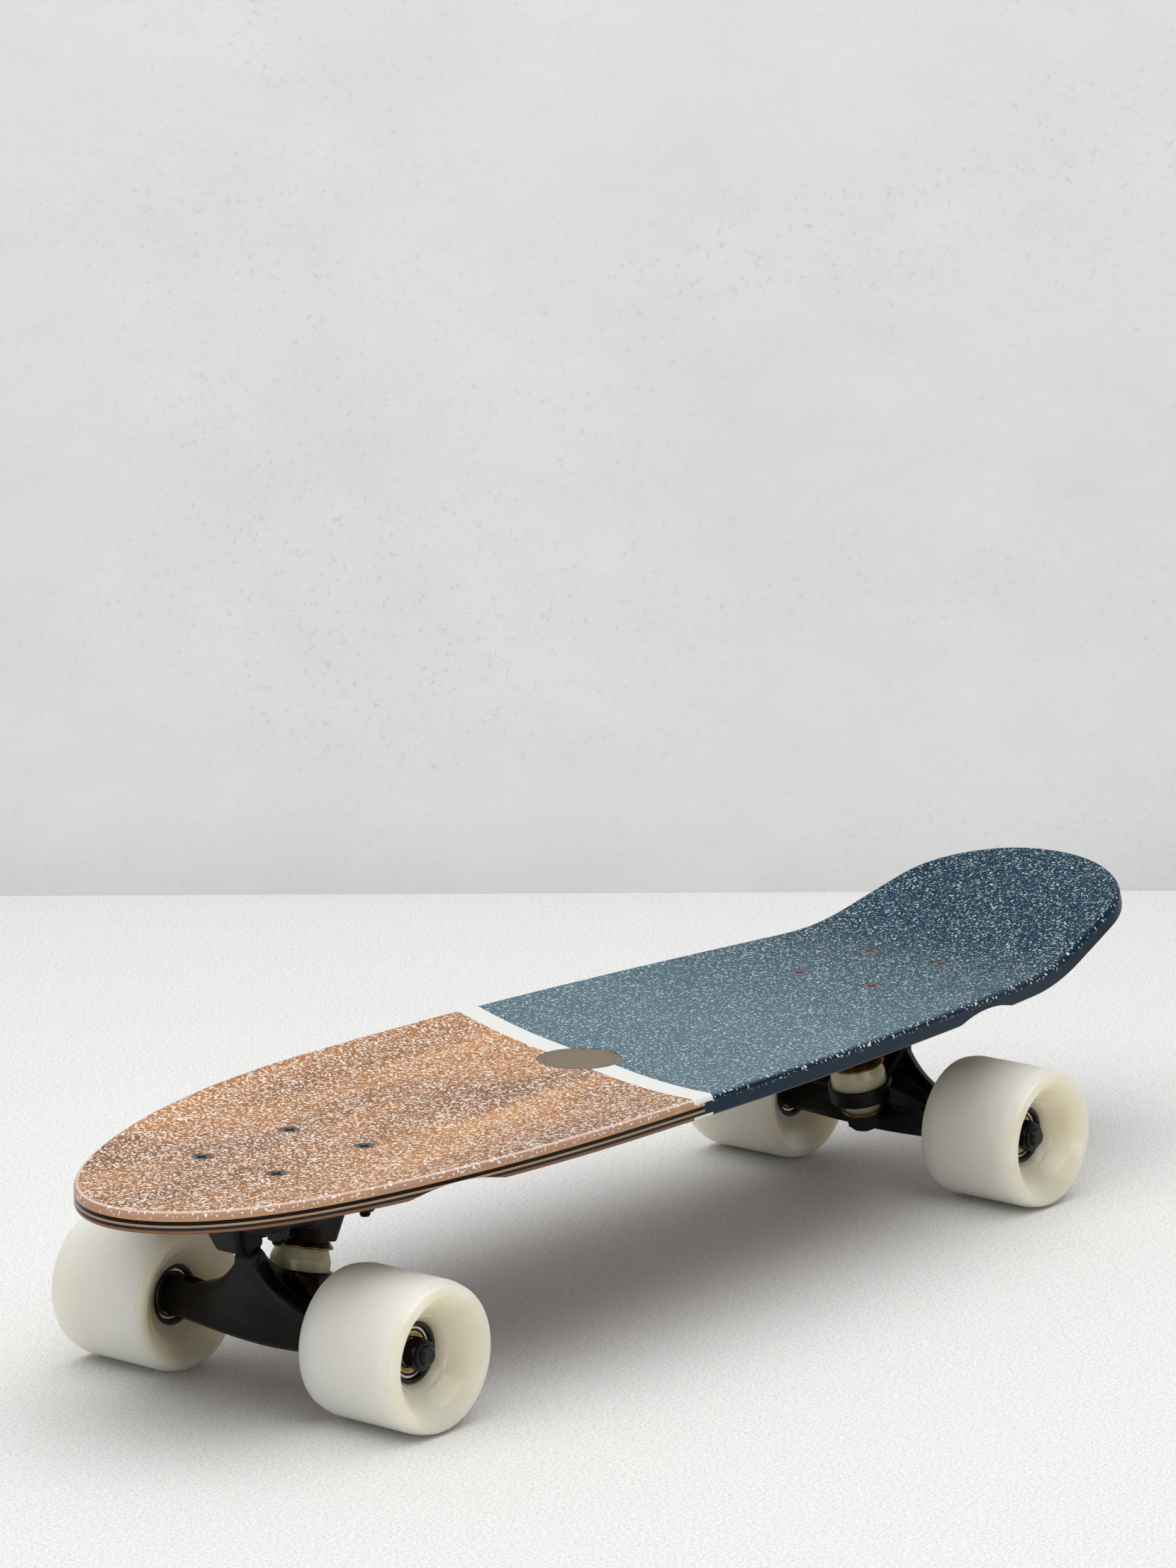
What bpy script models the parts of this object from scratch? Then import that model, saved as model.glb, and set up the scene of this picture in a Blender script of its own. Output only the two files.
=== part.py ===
# Cruiser skateboard: a laminated deck with a kicktail on two pivoting trucks and four soft wheels.
# Units are metres. +X is the nose, +Y the rider's left, +Z up, and the wheels stand on z = 0.
import math

import bmesh
import bpy
from mathutils import Matrix, Vector

# Fits between pieces
GAP = 0.0003                    # clearance between touching pieces
BURIED = 0.002                  # how far a joined shape reaches into its neighbour
PAST = 0.004                    # how far a cutter runs past the surface it opens

# Deck, in lengths measured along its surface
DECK_TOP = 0.1006               # height of the standing surface
DECK_THICKNESS = 0.0095
DECK_WIDTH = 0.183
BOLT_SPAN = 0.4047              # between the centres of the two bolt patterns
NOSE_LENGTH = 0.1047            # front bolt pattern to nose
TAIL_LENGTH = 0.1529            # rear bolt pattern to tail
NOSE_CURVE = 0.2237             # length of the half ellipse at the nose
TAPER_START = 0.1483            # behind the front bolt pattern
TAPER_POWER = 1.85
TAIL_WIDTH = 0.1076
TAIL_CURVE = 0.0467
TAIL_POWER = 2.17
KICK_START = 0.0275             # behind the rear bolt pattern
KICK_RADIUS = 0.141
KICK_ANGLE = math.radians(16.6)
FLAT_STRIP = 0.058              # flat width along the middle, where the trucks seat
NOSE_CONCAVE = 0.0051           # rise of the deck's edge over its middle
REAR_CONCAVE = 0.0023
TOP_EDGE_ROUND = 0.0030
BOTTOM_EDGE_ROUND = 0.0015
DECK_STATIONS = 42

# Wheel wells pressed into the underside
WELL_INBOARD = 0.0155           # from the bolt pattern towards the deck's middle
WELL_RADIUS = 0.089
WELL_DEPTH = 0.0036             # at the deck's edge
WELL_INNER = 0.042              # where the well runs out, from the centreline

# Round badge let into the top
BADGE_X = 0.2122                # in front of the rear bolt pattern
BADGE_DIAMETER = 0.037
BADGE_THICKNESS = 0.0012
BADGE_RIM = 0.0014
BADGE_SINK = 0.00015            # below the deck's top

# Mounting bolts and their lock nuts
BOLT_SPACING_LONG = 0.05398
BOLT_SPACING_WIDE = 0.04128
BOLT_DIAMETER = 0.0048
BOLT_HEAD_DIAMETER = 0.0094
BOLT_HEAD_HEIGHT = 0.0027
BOLT_LENGTH = 0.0299
BOLT_NUT_FLATS = 0.0095
BOLT_NUT_HEIGHT = 0.0055

# Riser pad between the deck and each baseplate
RISER_THICKNESS = 0.0060
RISER_OVERHANG = 0.0006         # past the flange all round
RISER_WINDOW = 0.0095           # radius of the opening over the kingpin's head

# Baseplate, measured outward from the bolt pattern towards the deck's near end
BASE_THICKNESS = 0.0059
BASE_MARGIN = 0.0072            # bolt centre to flange edge
BASE_OUTER_MARGIN = 0.0150
BASE_CORNER = 0.0060
PIVOT_BLOCK_BOTTOM = 0.0651
PIVOT_BLOCK_OUTER = 0.0345      # outer face at the block's bottom
PIVOT_BLOCK_LEAN = 0.5          # the outer face moves out by this share of its rise
PIVOT_BLOCK_TURN = 0.0072       # height above which it leans half as much
PIVOT_BLOCK_HALF = 0.0076       # half width at the bottom
PIVOT_BLOCK_SPREAD = 0.21       # and how it grows with height
PIVOT_BLOCK_SPREAD_END = 0.0120
PIVOT_BLOCK_UNDER = 0.0279      # inner end of the flat bottom
PIVOT_BLOCK_UNDER_RISE = 0.0021 # the underside then rises by this to the inner wall
PIVOT_BLOCK_INNER = 0.0214
PIVOT_BLOCK_CORNER = 0.0025
KING_BLOCK_BOTTOM = 0.0559
KING_BLOCK_SHOULDER = 0.0714    # full width from here up
KING_BLOCK_NARROW = 0.0115
KING_BLOCK_WIDE = 0.0160
KING_BLOCK_INNER = 0.0096       # both walls from the kingpin's axis
KING_BLOCK_OUTER = 0.0100
KING_BLOCK_ARCH = 0.0100        # how far its outer wall arches out to the rib
KING_BLOCK_ARCH_START = 0.0645
KING_BLOCK_CORNERS = (0.0040, 0.0060)
BASE_RIB_WIDTH = 0.0200
BASE_RIB_BOTTOM = 0.0705

# Kingpin stack, measured down the kingpin from the rim of the upper cup washer
KINGPIN_OUT = -0.0110
KINGPIN_HEIGHT = 0.0579
KINGPIN_TILT = math.radians(13.5)
KINGPIN_DIAMETER = 0.0095
KINGPIN_END = 0.0344
KINGPIN_HEAD_HEIGHT = 0.0050
KINGPIN_HEX = 0.0143
KINGPIN_NUT_HEIGHT = 0.0063
CUP_THICKNESS = 0.0012
UPPER_CUP_DIAMETER = 0.0261
UPPER_CUP_LIP = 0.0018
UPPER_CUP_FLARE = 0.0020         # from its flat back out to the rim
LOWER_CUP_DIAMETER = 0.0198
LOWER_CUP_LIP = 0.0008
LOWER_CUP_FLARE = 0.0010
CUP_RIM = 0.0010
BUSHING_EDGE = 0.0005           # rounding of the bushings' corners
UPPER_BUSHING_TOP = 0.0207
UPPER_BUSHING_WIDE = 0.0255
LOWER_BUSHING_WIDE = 0.0185
LOWER_BUSHING_END = 0.0166
YOKE_TOP = 0.0115               # seat of the upper bushing
YOKE_THICKNESS = 0.0058
YOKE_RIM = 0.0021
YOKE_MIDDLE = 0.0134            # where the steering axis crosses the kingpin's
LOWER_CUP_AT = 0.0235
YOKE_DIAMETER = 0.0295
YOKE_HOLE = 0.0170
SKIRT_END = 0.0260              # the yoke's skirt runs down to here, into the arms
SKIRT_RETREAT = 0.0060          # and its inner edge falls back by this
CAVITY_RADIUS = 0.0134          # room for the lower bushing and its cup
CAVITY_END = 0.0265

# Pivot
PIVOT_OUT = 0.0260
PIVOT_HEIGHT = 0.0726
PIVOT_CUP_MOUTH = 0.0040        # from the pivot's centre back down its axis
PIVOT_CUP_DEPTH = 0.0090
PIVOT_CUP_DIAMETER = 0.0116
PIVOT_CUP_WALL = 0.0016
PIVOT_CUP_FLOOR = 0.0014
PIVOT_TIP_AIR = 0.0008          # tip of the stem to the floor of its cup
PIVOT_STEM_LENGTH = 0.0150

# Hanger and axle
AXLE_OUT = 0.0107
WHEEL_RADIUS = 0.032
AXLE_DIAMETER = 0.008
AXLE_LENGTH = 0.1758
HANGER_WIDTH = 0.1054
ARM_RADIUS = 0.0090
HANGER_SHOULDER = 0.044         # where the arms become round
FLAT_END = 0.030                # end of the flat on the hanger's inner face
FLAT_RUN = 0.014
NECK_TOP = 0.0620
NECK_TIP = 0.0030               # half width of the neck's level top
NECK_FALL = 0.0130              # the neck's sides fall away exponentially over this length
NECK_TAPER = 0.01               # and by this share more at the arms' shoulders
# Outline of the middle section, from under the axle round the outer face to the inner one
HANGER_MIDDLE = ((0.0075, 0.0213), (0.0155, 0.0211), (0.0195, 0.0245), (0.0213, 0.0310),
                 (0.0240, 0.0415), (0.0254, 0.0520), (0.0250, NECK_TOP), (0.0190, NECK_TOP + 0.0035),
                 (0.0115, 0.0580), (0.0030, 0.0515), (0.0046, 0.0400), (0.0046, 0.0280))
NECK_HALF = 0.0062              # half width of the upright neck
NECK_ROUND = 0.0010
# Outline of the upright neck: up the outer face, down the ridge to the seat, and back inside
NECK_SIDE = ((0.0238, 0.0440), (0.0252, 0.0520), (0.0250, 0.0608), (0.0238, 0.0636), (0.0196, 0.0660),
             (0.0140, 0.0615), (0.0080, 0.0575), (0.0025, 0.0540), (0.0040, 0.0480), (0.0120, 0.0420))
ARM_ANGLES = (-112, -68, -32, -6, 25, 55, 80, 105, 130, 155, 180, 215)
POCKET_LENGTH = 0.0180
POCKET_WIDTH = 0.0100
POCKET_FLOOR = 0.0378
POCKET_AT = 0.0362

# Wheels and bearings
TRACK = 0.1382                  # between the middles of the two wheels
WHEEL_WIDTH = 0.0526
TREAD_HALF = 0.0190             # half width of the level tread
LIP_RADIUS = 0.0280             # crest of the rolled lip
LIP_ROUND = 0.0030
LIP_TURN = math.radians(130)    # from the tread's side round to the dish
DISH_BEND = (0.0220, 0.0219)    # radius and place of the bend in the dished side
RING_STEP = ((0.0153, 0.0142), (0.0164, 0.0149))
CORE_RADIUS = 0.0128
CORE_LIP = 0.0017               # the core stands past its bearings by this much
INNER_MOUTH = 0.0154            # opening around the core on the truck's side
BEARING_DIAMETER = 0.022
BEARING_WIDTH = 0.007
BEARING_INNER_DIAMETER = 0.0124
BEARING_SPACING = 0.010
BEARING_SHIELD_SET = 0.0006
CORE_SHOULDER = 0.0090
WASHER_THICKNESS = 0.0010
WASHER_DIAMETER = 0.0115
AXLE_NUT_FLATS = 0.0127
AXLE_NUT_HEIGHT = 0.0050
AXLE_NUT_COLLAR = 0.0016

# Facets around round pieces
TYRE_SIDES = 30
HUB_SIDES = 16
RACE_SIDES = 12
SMALL_SIDES = 12
YOKE_SIDES = 22
BADGE_SIDES = 24

# Sizes that follow from the ones above
DECK_UNDERSIDE = DECK_TOP - DECK_THICKNESS
RISER_TOP = DECK_UNDERSIDE - GAP
BASE_TOP = RISER_TOP - RISER_THICKNESS - GAP
BASE_BOTTOM = BASE_TOP - BASE_THICKNESS
BOLT_X = BOLT_SPACING_LONG / 2
BOLT_Y = BOLT_SPACING_WIDE / 2
AXLE_HEIGHT = WHEEL_RADIUS
AXLE_RADIUS = AXLE_DIAMETER / 2
KING_RADIUS = KINGPIN_DIAMETER / 2
KING_BORE = KING_RADIUS + GAP
YOKE_BOTTOM = YOKE_TOP + YOKE_THICKNESS
CUP_SEAT = -CUP_THICKNESS - UPPER_CUP_LIP - GAP
HANGER_END = HANGER_WIDTH / 2
INBOARD_BEARING = HANGER_END + GAP + WASHER_THICKNESS
OUTBOARD_BEARING = INBOARD_BEARING + BEARING_WIDTH + BEARING_SPACING
WHEEL_Y = TRACK / 2

KING_FRAME = (Matrix.Translation((KINGPIN_OUT, 0.0, KINGPIN_HEIGHT))
              @ Matrix.Rotation(math.pi - KINGPIN_TILT, 4, 'Y'))
YOKE_CENTRE = KING_FRAME @ Vector((0.0, 0.0, YOKE_MIDDLE))
PIVOT_CENTRE = Vector((PIVOT_OUT, 0.0, PIVOT_HEIGHT))
STEER_AXIS = (PIVOT_CENTRE - YOKE_CENTRE).normalized()
STEER_ANGLE = math.atan2(STEER_AXIS.x, STEER_AXIS.z)
PIVOT_FRAME = Matrix.Translation(PIVOT_CENTRE) @ Matrix.Rotation(STEER_ANGLE, 4, 'Y')


def clear_scene():
    """Start from an empty scene."""
    for item in list(bpy.data.objects):
        bpy.data.objects.remove(item, do_unlink=True)


def material(name, colour, roughness, metallic):
    """Make one plain surface."""
    made = bpy.data.materials.new(name)
    made.use_nodes = True
    shader = made.node_tree.nodes["Principled BSDF"]
    shader.inputs["Base Color"].default_value = (*colour, 1.0)
    shader.inputs["Roughness"].default_value = roughness
    shader.inputs["Metallic"].default_value = metallic
    made.diffuse_color = (*colour, 1.0)
    return made


def finish_mesh(name, shape):
    """Turn a bmesh into a named object with its faces pointing out."""
    bmesh.ops.remove_doubles(shape, verts=shape.verts, dist=1e-7)
    bmesh.ops.recalc_face_normals(shape, faces=shape.faces)
    mesh = bpy.data.meshes.new(name)
    shape.to_mesh(mesh)
    shape.free()
    made = bpy.data.objects.new(name, mesh)
    bpy.context.collection.objects.link(made)
    return made


def skin(name, rings, closed=False):
    """Join equal rings of points with faces, and cap the first and the last unless they meet."""
    shape = bmesh.new()
    loops = [[shape.verts.new(point) for point in ring] for ring in rings]
    pairs = list(zip(loops, loops[1:]))
    if closed:
        pairs.append((loops[-1], loops[0]))
    for low, high in pairs:
        for i in range(len(low)):
            j = (i + 1) % len(low)
            shape.faces.new((low[i], low[j], high[j], high[i]))
    if not closed:
        shape.faces.new(loops[0])
        shape.faces.new(loops[-1])
    return finish_mesh(name, shape)


def circle(radius, height, sides, turn=0.0):
    """Points of a level circle."""
    steps = [turn + 2 * math.pi * i / sides for i in range(sides)]
    return [(radius * math.cos(a), radius * math.sin(a), height) for a in steps]


def turned(name, profile, sides, hollow=False):
    """Turn (radius, height) points about Z. A hollow profile is a loop that stays off the axis."""
    rings = [circle(radius, height, sides) for radius, height in profile]
    return skin(name, rings, closed=hollow)


def drum(name, radius, low, high, sides):
    """A plain cylinder about Z."""
    return turned(name, [(radius, low), (radius, high)], sides)


def prism(name, outline, low, high):
    """Pull a flat outline up from one height to another."""
    return skin(name, [[(x, y, z) for x, y in outline] for z in (low, high)])


def hexagon(flats):
    """Outline of a hexagon by its width across flats, with a flat towards X."""
    radius = flats / math.sqrt(3)
    corners = [math.radians(30 + 60 * i) for i in range(6)]
    return [(radius * math.cos(a), radius * math.sin(a)) for a in corners]


def rounded_box(x_low, x_high, half_width, corner, steps=3):
    """Outline of a rectangle with round corners, even about y = 0."""
    centres = [(x_high - corner, half_width - corner, 0), (x_low + corner, half_width - corner, 1),
               (x_low + corner, corner - half_width, 2), (x_high - corner, corner - half_width, 3)]
    points = []
    for cx, cy, quarter in centres:
        for i in range(steps):
            angle = (quarter + i / (steps - 1)) * math.pi / 2
            points.append((cx + corner * math.cos(angle), cy + corner * math.sin(angle)))
    return points


def box(name, low, high):
    """A plain box between two corners."""
    outline = [(low[0], low[1]), (high[0], low[1]), (high[0], high[1]), (low[0], high[1])]
    return prism(name, outline, low[2], high[2])


def move(item, matrix):
    """Move an object's points, leaving its origin where it is."""
    item.data.transform(matrix)
    return item


def combine(target, tool, operation):
    """Cut or join with an exact Boolean and keep the result as plain faces."""
    modifier = target.modifiers.new("combine", 'BOOLEAN')
    modifier.operation = operation
    modifier.object = tool
    graph = bpy.context.evaluated_depsgraph_get()
    result = bpy.data.meshes.new_from_object(target.evaluated_get(graph))
    target.modifiers.clear()
    target.data = result
    bpy.data.objects.remove(tool, do_unlink=True)
    return target


def cut(target, tool):
    return combine(target, tool, 'DIFFERENCE')


def join(target, tool):
    return combine(target, tool, 'UNION')


def between(value, low, high):
    return max(low, min(high, value))


def blend(start, end, share):
    return start + (end - start) * share


def deck_half_width(s):
    """Half the deck's width at s, the distance along the deck behind the front bolt pattern."""
    run = TAIL_LENGTH + BOLT_SPAN - TAPER_START
    taper = between((s - TAPER_START) / run, 0.0, 1.0)
    width = (DECK_WIDTH - (DECK_WIDTH - TAIL_WIDTH) * taper ** TAPER_POWER) / 2
    nose = between((NOSE_CURVE - NOSE_LENGTH - s) / NOSE_CURVE, 0.0, 1.0)
    tail = between((s - (BOLT_SPAN + TAIL_LENGTH - TAIL_CURVE)) / TAIL_CURVE, 0.0, 1.0)
    nose_share = math.sqrt(1 - nose ** 2)
    tail_share = (1 - tail ** TAIL_POWER) ** (1 / TAIL_POWER)
    return width * nose_share * tail_share


def deck_lift(s, y):
    """Rise of the concave deck at a distance from its centreline."""
    edge = blend(NOSE_CONCAVE, REAR_CONCAVE, between(s / BOLT_SPAN, 0.0, 1.0))
    reach = max(0.0, (abs(y) - FLAT_STRIP / 2) / (DECK_WIDTH / 2 - FLAT_STRIP / 2))
    return edge * reach ** 2


def bend(s, y, height):
    """Place a point of the flat deck, with the kicktail bent up behind KICK_START."""
    level = height + deck_lift(s, y)
    past = s - (BOLT_SPAN + KICK_START)
    angle = between(past / KICK_RADIUS, 0.0, KICK_ANGLE)
    straight = max(0.0, past - KICK_RADIUS * KICK_ANGLE)
    reach = KICK_RADIUS - level
    back = min(s, BOLT_SPAN + KICK_START) + reach * math.sin(angle) + straight * math.cos(angle)
    up = KICK_RADIUS - reach * math.cos(angle) + straight * math.sin(angle)
    return Vector((-back, y, DECK_TOP + up))


def deck_edge(inset):
    """Outline of the deck drawn in by a distance: the left side's points from nose to tail."""
    middle = (BOLT_SPAN + TAIL_LENGTH - NOSE_LENGTH) / 2
    half = (BOLT_SPAN + TAIL_LENGTH + NOSE_LENGTH) / 2
    step = math.pi / DECK_STATIONS
    points = []
    for i in range(DECK_STATIONS + 1):
        s = middle - half * math.cos(i * step)
        ahead = middle - half * math.cos(between((i + 0.25) * step, 0.0, math.pi))
        behind = middle - half * math.cos(between((i - 0.25) * step, 0.0, math.pi))
        run = ahead - behind
        rise = deck_half_width(ahead) - deck_half_width(behind)
        if i == 0 or i == DECK_STATIONS:
            points.append((s + (inset if i == 0 else -inset), 0.0))
        else:
            length = math.hypot(run, rise)
            y = deck_half_width(s) - inset * run / length
            points.append((s + inset * rise / length, y))
    return points


def deck_profile():
    """Inset and height of the deck's edge, from the underside up over the rounded top."""
    low = -DECK_THICKNESS
    points = []
    for angle in (0.0, math.pi / 2):
        points.append((BOTTOM_EDGE_ROUND * (1 - math.sin(angle)),
                       low + BOTTOM_EDGE_ROUND * (1 - math.cos(angle))))
    for i in range(4):
        angle = math.pi / 2 * i / 3
        points.append((TOP_EDGE_ROUND * (1 - math.cos(angle)),
                       -TOP_EDGE_ROUND * (1 - math.sin(angle))))
    return points


def deck_columns(half):
    """Places across one face of the deck: the flat strip, then the rising sides."""
    flat = min(FLAT_STRIP / 2, 0.4 * half)
    side = [blend(half, flat, i / 3) for i in range(1, 4)]
    return side + [-y for y in reversed(side)]


def deck_blank():
    """The deck before it is drilled: a rounded edge all round and two curved faces."""
    shape = bmesh.new()
    rings = []
    for inset, height in deck_profile():
        left = deck_edge(inset)
        right = [(s, -y) for s, y in reversed(left[1:-1])]
        rings.append([shape.verts.new(bend(s, y, height)) for s, y in left + right])
    count = len(rings[0])
    for low, high in zip(rings, rings[1:]):
        for i in range(count):
            j = (i + 1) % count
            shape.faces.new((low[i], low[j], high[j], high[i]))
    faces = ((rings[0], deck_profile()[0]), (rings[-1], deck_profile()[-1]))
    for ring, (inset, height) in faces:
        edge = deck_edge(inset)
        rows = [[ring[0]]]
        for i in range(1, DECK_STATIONS):
            s, half = edge[i]
            across = [shape.verts.new(bend(s, y, height)) for y in deck_columns(half)]
            rows.append([ring[i]] + across + [ring[count - i]])
        for front, back in zip(rows[1:], rows[2:]):
            for k in range(len(front) - 1):
                shape.faces.new((front[k], front[k + 1], back[k + 1], back[k]))
        for tip, row in ((ring[0], rows[1]), (ring[DECK_STATIONS], rows[-1])):
            for k in range(len(row) - 1):
                shape.faces.new((tip, row[k], row[k + 1]))
    return finish_mesh("deck", shape)


def well_cutter(side, s):
    """A roller pressed into the underside: deepest at the deck's edge, gone at WELL_INNER."""
    half = deck_half_width(s)
    inner = bend(s, WELL_INNER, -DECK_THICKNESS)
    outer = bend(s, half, -DECK_THICKNESS) + Vector((0.0, 0.0, WELL_DEPTH))
    slope = math.atan2(outer.z - inner.z, outer.y - inner.y)
    length = DECK_WIDTH / 2
    roller = drum("well", WELL_RADIUS, -length / 2, length, 72)
    move(roller, Matrix.Rotation(-math.pi / 2, 4, 'X'))
    move(roller, Matrix.Rotation(slope, 4, 'X'))
    drop = WELL_RADIUS / math.cos(slope)
    move(roller, Matrix.Translation((inner.x, inner.y, inner.z - drop)))
    if side < 0:
        move(roller, Matrix.Rotation(math.pi, 4, 'Z') @ Matrix.Translation((-2 * inner.x, 0, 0)))
    return roller


def bolt_places():
    """The four bolts of one pattern, from its centre."""
    return [(x, y) for x in (BOLT_X, -BOLT_X) for y in (BOLT_Y, -BOLT_Y)]


def bolt_head_profile(room):
    """Cone of the countersunk head, with room added all round for the hole that takes it."""
    top = DECK_TOP - GAP / 2
    return [(BOLT_DIAMETER / 2 + room, top - BOLT_HEAD_HEIGHT),
            (BOLT_HEAD_DIAMETER / 2 + room, top - GAP)]


def countersink():
    """Cutter for one countersunk hole through the deck."""
    cone = bolt_head_profile(GAP)
    profile = [(cone[0][0], DECK_UNDERSIDE - PAST)] + cone + [(cone[1][0], DECK_TOP + PAST)]
    return turned("sink", profile, SMALL_SIDES)


def make_deck():
    deck = deck_blank()
    for s in (WELL_INBOARD, BOLT_SPAN - WELL_INBOARD):
        for side in (1, -1):
            cut(deck, well_cutter(side, s))
    for centre in (0.0, -BOLT_SPAN):
        for x, y in bolt_places():
            cut(deck, move(countersink(), Matrix.Translation((centre + x, y, 0.0))))
    recess = drum("recess", BADGE_DIAMETER / 2 + GAP, badge_bottom() - GAP, DECK_TOP + PAST,
                  BADGE_SIDES)
    cut(deck, move(recess, Matrix.Translation((BADGE_X - BOLT_SPAN, 0.0, 0.0))))
    return deck


def badge_bottom():
    return DECK_TOP - BADGE_SINK - BADGE_THICKNESS


def make_badge():
    """A plain disc with a raised rim."""
    radius = BADGE_DIAMETER / 2
    top = DECK_TOP - BADGE_SINK
    low = badge_bottom()
    step = BADGE_THICKNESS / 5
    profile = [(radius, low), (radius, top - step), (radius - step, top),
               (radius - BADGE_RIM, top), (radius - BADGE_RIM - step, top - step)]
    return turned("badge", profile, BADGE_SIDES)


def hex_nut(name, flats, bore, low, height, collar=0.0):
    """A hexagon nut about Z, with an optional round collar on its far end."""
    nut = prism(name, hexagon(flats), low, low + height)
    if collar:
        crown = turned("crown", [(flats * 0.44, low + height - BURIED / 4), (flats * 0.44, low + height
                       + collar * 0.6), (flats * 0.37, low + height + collar)], SMALL_SIDES)
        join(nut, crown)
    cut(nut, drum("bore", bore, low - PAST, low + height + collar + PAST, SMALL_SIDES))
    return nut


def make_bolt():
    """Countersunk bolt with its lock nut run up to the baseplate, standing at z from the ground."""
    top = DECK_TOP - GAP / 2
    radius = BOLT_DIAMETER / 2
    end = top - BOLT_LENGTH
    profile = [(radius * 0.8, end), (radius, end + radius * 0.3)] + bolt_head_profile(0.0)
    profile.append((BOLT_HEAD_DIAMETER / 2, top))
    bolt = turned("bolt", profile, SMALL_SIDES)
    nut_top = BASE_BOTTOM - GAP
    return join(bolt, prism("nut", hexagon(BOLT_NUT_FLATS), nut_top - BOLT_NUT_HEIGHT, nut_top))


def king_axis_out(height):
    """Where the kingpin's axis is, outward from the bolt pattern, at a height."""
    return KINGPIN_OUT - (height - KINGPIN_HEIGHT) * math.tan(KINGPIN_TILT)


def king_block():
    """Block that holds the kingpin, arched out to the rib, cut square where the cup washer seats."""
    arch_run = KING_BLOCK_SHOULDER - KING_BLOCK_ARCH_START
    heights = (KING_BLOCK_BOTTOM, KING_BLOCK_ARCH_START, KING_BLOCK_ARCH_START + 0.6 * arch_run,
               KING_BLOCK_SHOULDER, BASE_BOTTOM + BURIED)
    rings = []
    for height in heights:
        share = between((height - KING_BLOCK_BOTTOM) / (KING_BLOCK_SHOULDER - KING_BLOCK_BOTTOM), 0.0, 1.0)
        arch = KING_BLOCK_ARCH * between((height - KING_BLOCK_ARCH_START) / arch_run, 0.0, 1.0) ** 2
        centre = king_axis_out(height)
        outline = rounded_box(centre - KING_BLOCK_INNER, centre + KING_BLOCK_OUTER + arch,
                              blend(KING_BLOCK_NARROW, KING_BLOCK_WIDE, share),
                              blend(*KING_BLOCK_CORNERS, share))
        rings.append([(x, y, height) for x, y in outline])
    block = skin("king_block", rings)
    reach = KING_BLOCK_WIDE + BURIED
    face = box("face", (-reach, -reach, CUP_SEAT - GAP), (reach, reach, reach))
    return cut(block, move(face, KING_FRAME))


def pivot_block():
    """Tapered housing of the pivot cup, its inner side square to the pivot's axis."""
    mouth = PIVOT_FRAME @ Vector((0.0, 0.0, -PIVOT_CUP_MOUTH))
    under_rise = PIVOT_BLOCK_UNDER_RISE
    under_slope = (PIVOT_BLOCK_UNDER - PIVOT_BLOCK_INNER) / under_rise
    rings = []
    for rise in (0.0, under_rise / 2, under_rise, PIVOT_BLOCK_TURN, PIVOT_BLOCK_SPREAD_END,
                 BASE_BOTTOM + BURIED - PIVOT_BLOCK_BOTTOM):
        height = PIVOT_BLOCK_BOTTOM + rise
        square = mouth.x - (height - mouth.z) * STEER_AXIS.z / STEER_AXIS.x
        inner = min(square, PIVOT_BLOCK_INNER) if rise > under_rise else (
            PIVOT_BLOCK_UNDER - under_slope * rise)
        outer = PIVOT_BLOCK_OUTER + PIVOT_BLOCK_LEAN * (rise + min(rise, PIVOT_BLOCK_TURN)) / 2
        half = PIVOT_BLOCK_HALF + PIVOT_BLOCK_SPREAD * min(rise, PIVOT_BLOCK_SPREAD_END)
        outline = rounded_box(inner, outer, half, PIVOT_BLOCK_CORNER)
        rings.append([(x, y, height) for x, y in outline])
    return skin("pivot_block", rings)


def flange(name, overhang, low, high):
    """Flat plate around the four bolts, drilled for them."""
    plate = prism(name, rounded_box(-BOLT_X - BASE_MARGIN - overhang, BOLT_X + BASE_OUTER_MARGIN + overhang,
                                    BOLT_Y + BASE_MARGIN + overhang, BASE_CORNER), low, high)
    return plate


def drill_bolts(plate, low, high):
    """The four bolt holes."""
    for x, y in bolt_places():
        hole = drum("hole", BOLT_DIAMETER / 2 + GAP, low - PAST, high + PAST, SMALL_SIDES)
        cut(plate, move(hole, Matrix.Translation((x, y, 0.0))))
    return plate


def make_riser():
    """Pad between the deck and the baseplate, open over the kingpin's head."""
    low = RISER_TOP - RISER_THICKNESS
    riser = drill_bolts(flange("riser", RISER_OVERHANG, low, RISER_TOP), low, RISER_TOP)
    window = drum("window", RISER_WINDOW, low - PAST, RISER_TOP + PAST, HUB_SIDES)
    return cut(riser, move(window, Matrix.Translation((king_axis_out(BASE_TOP), 0.0, 0.0))))


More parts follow.
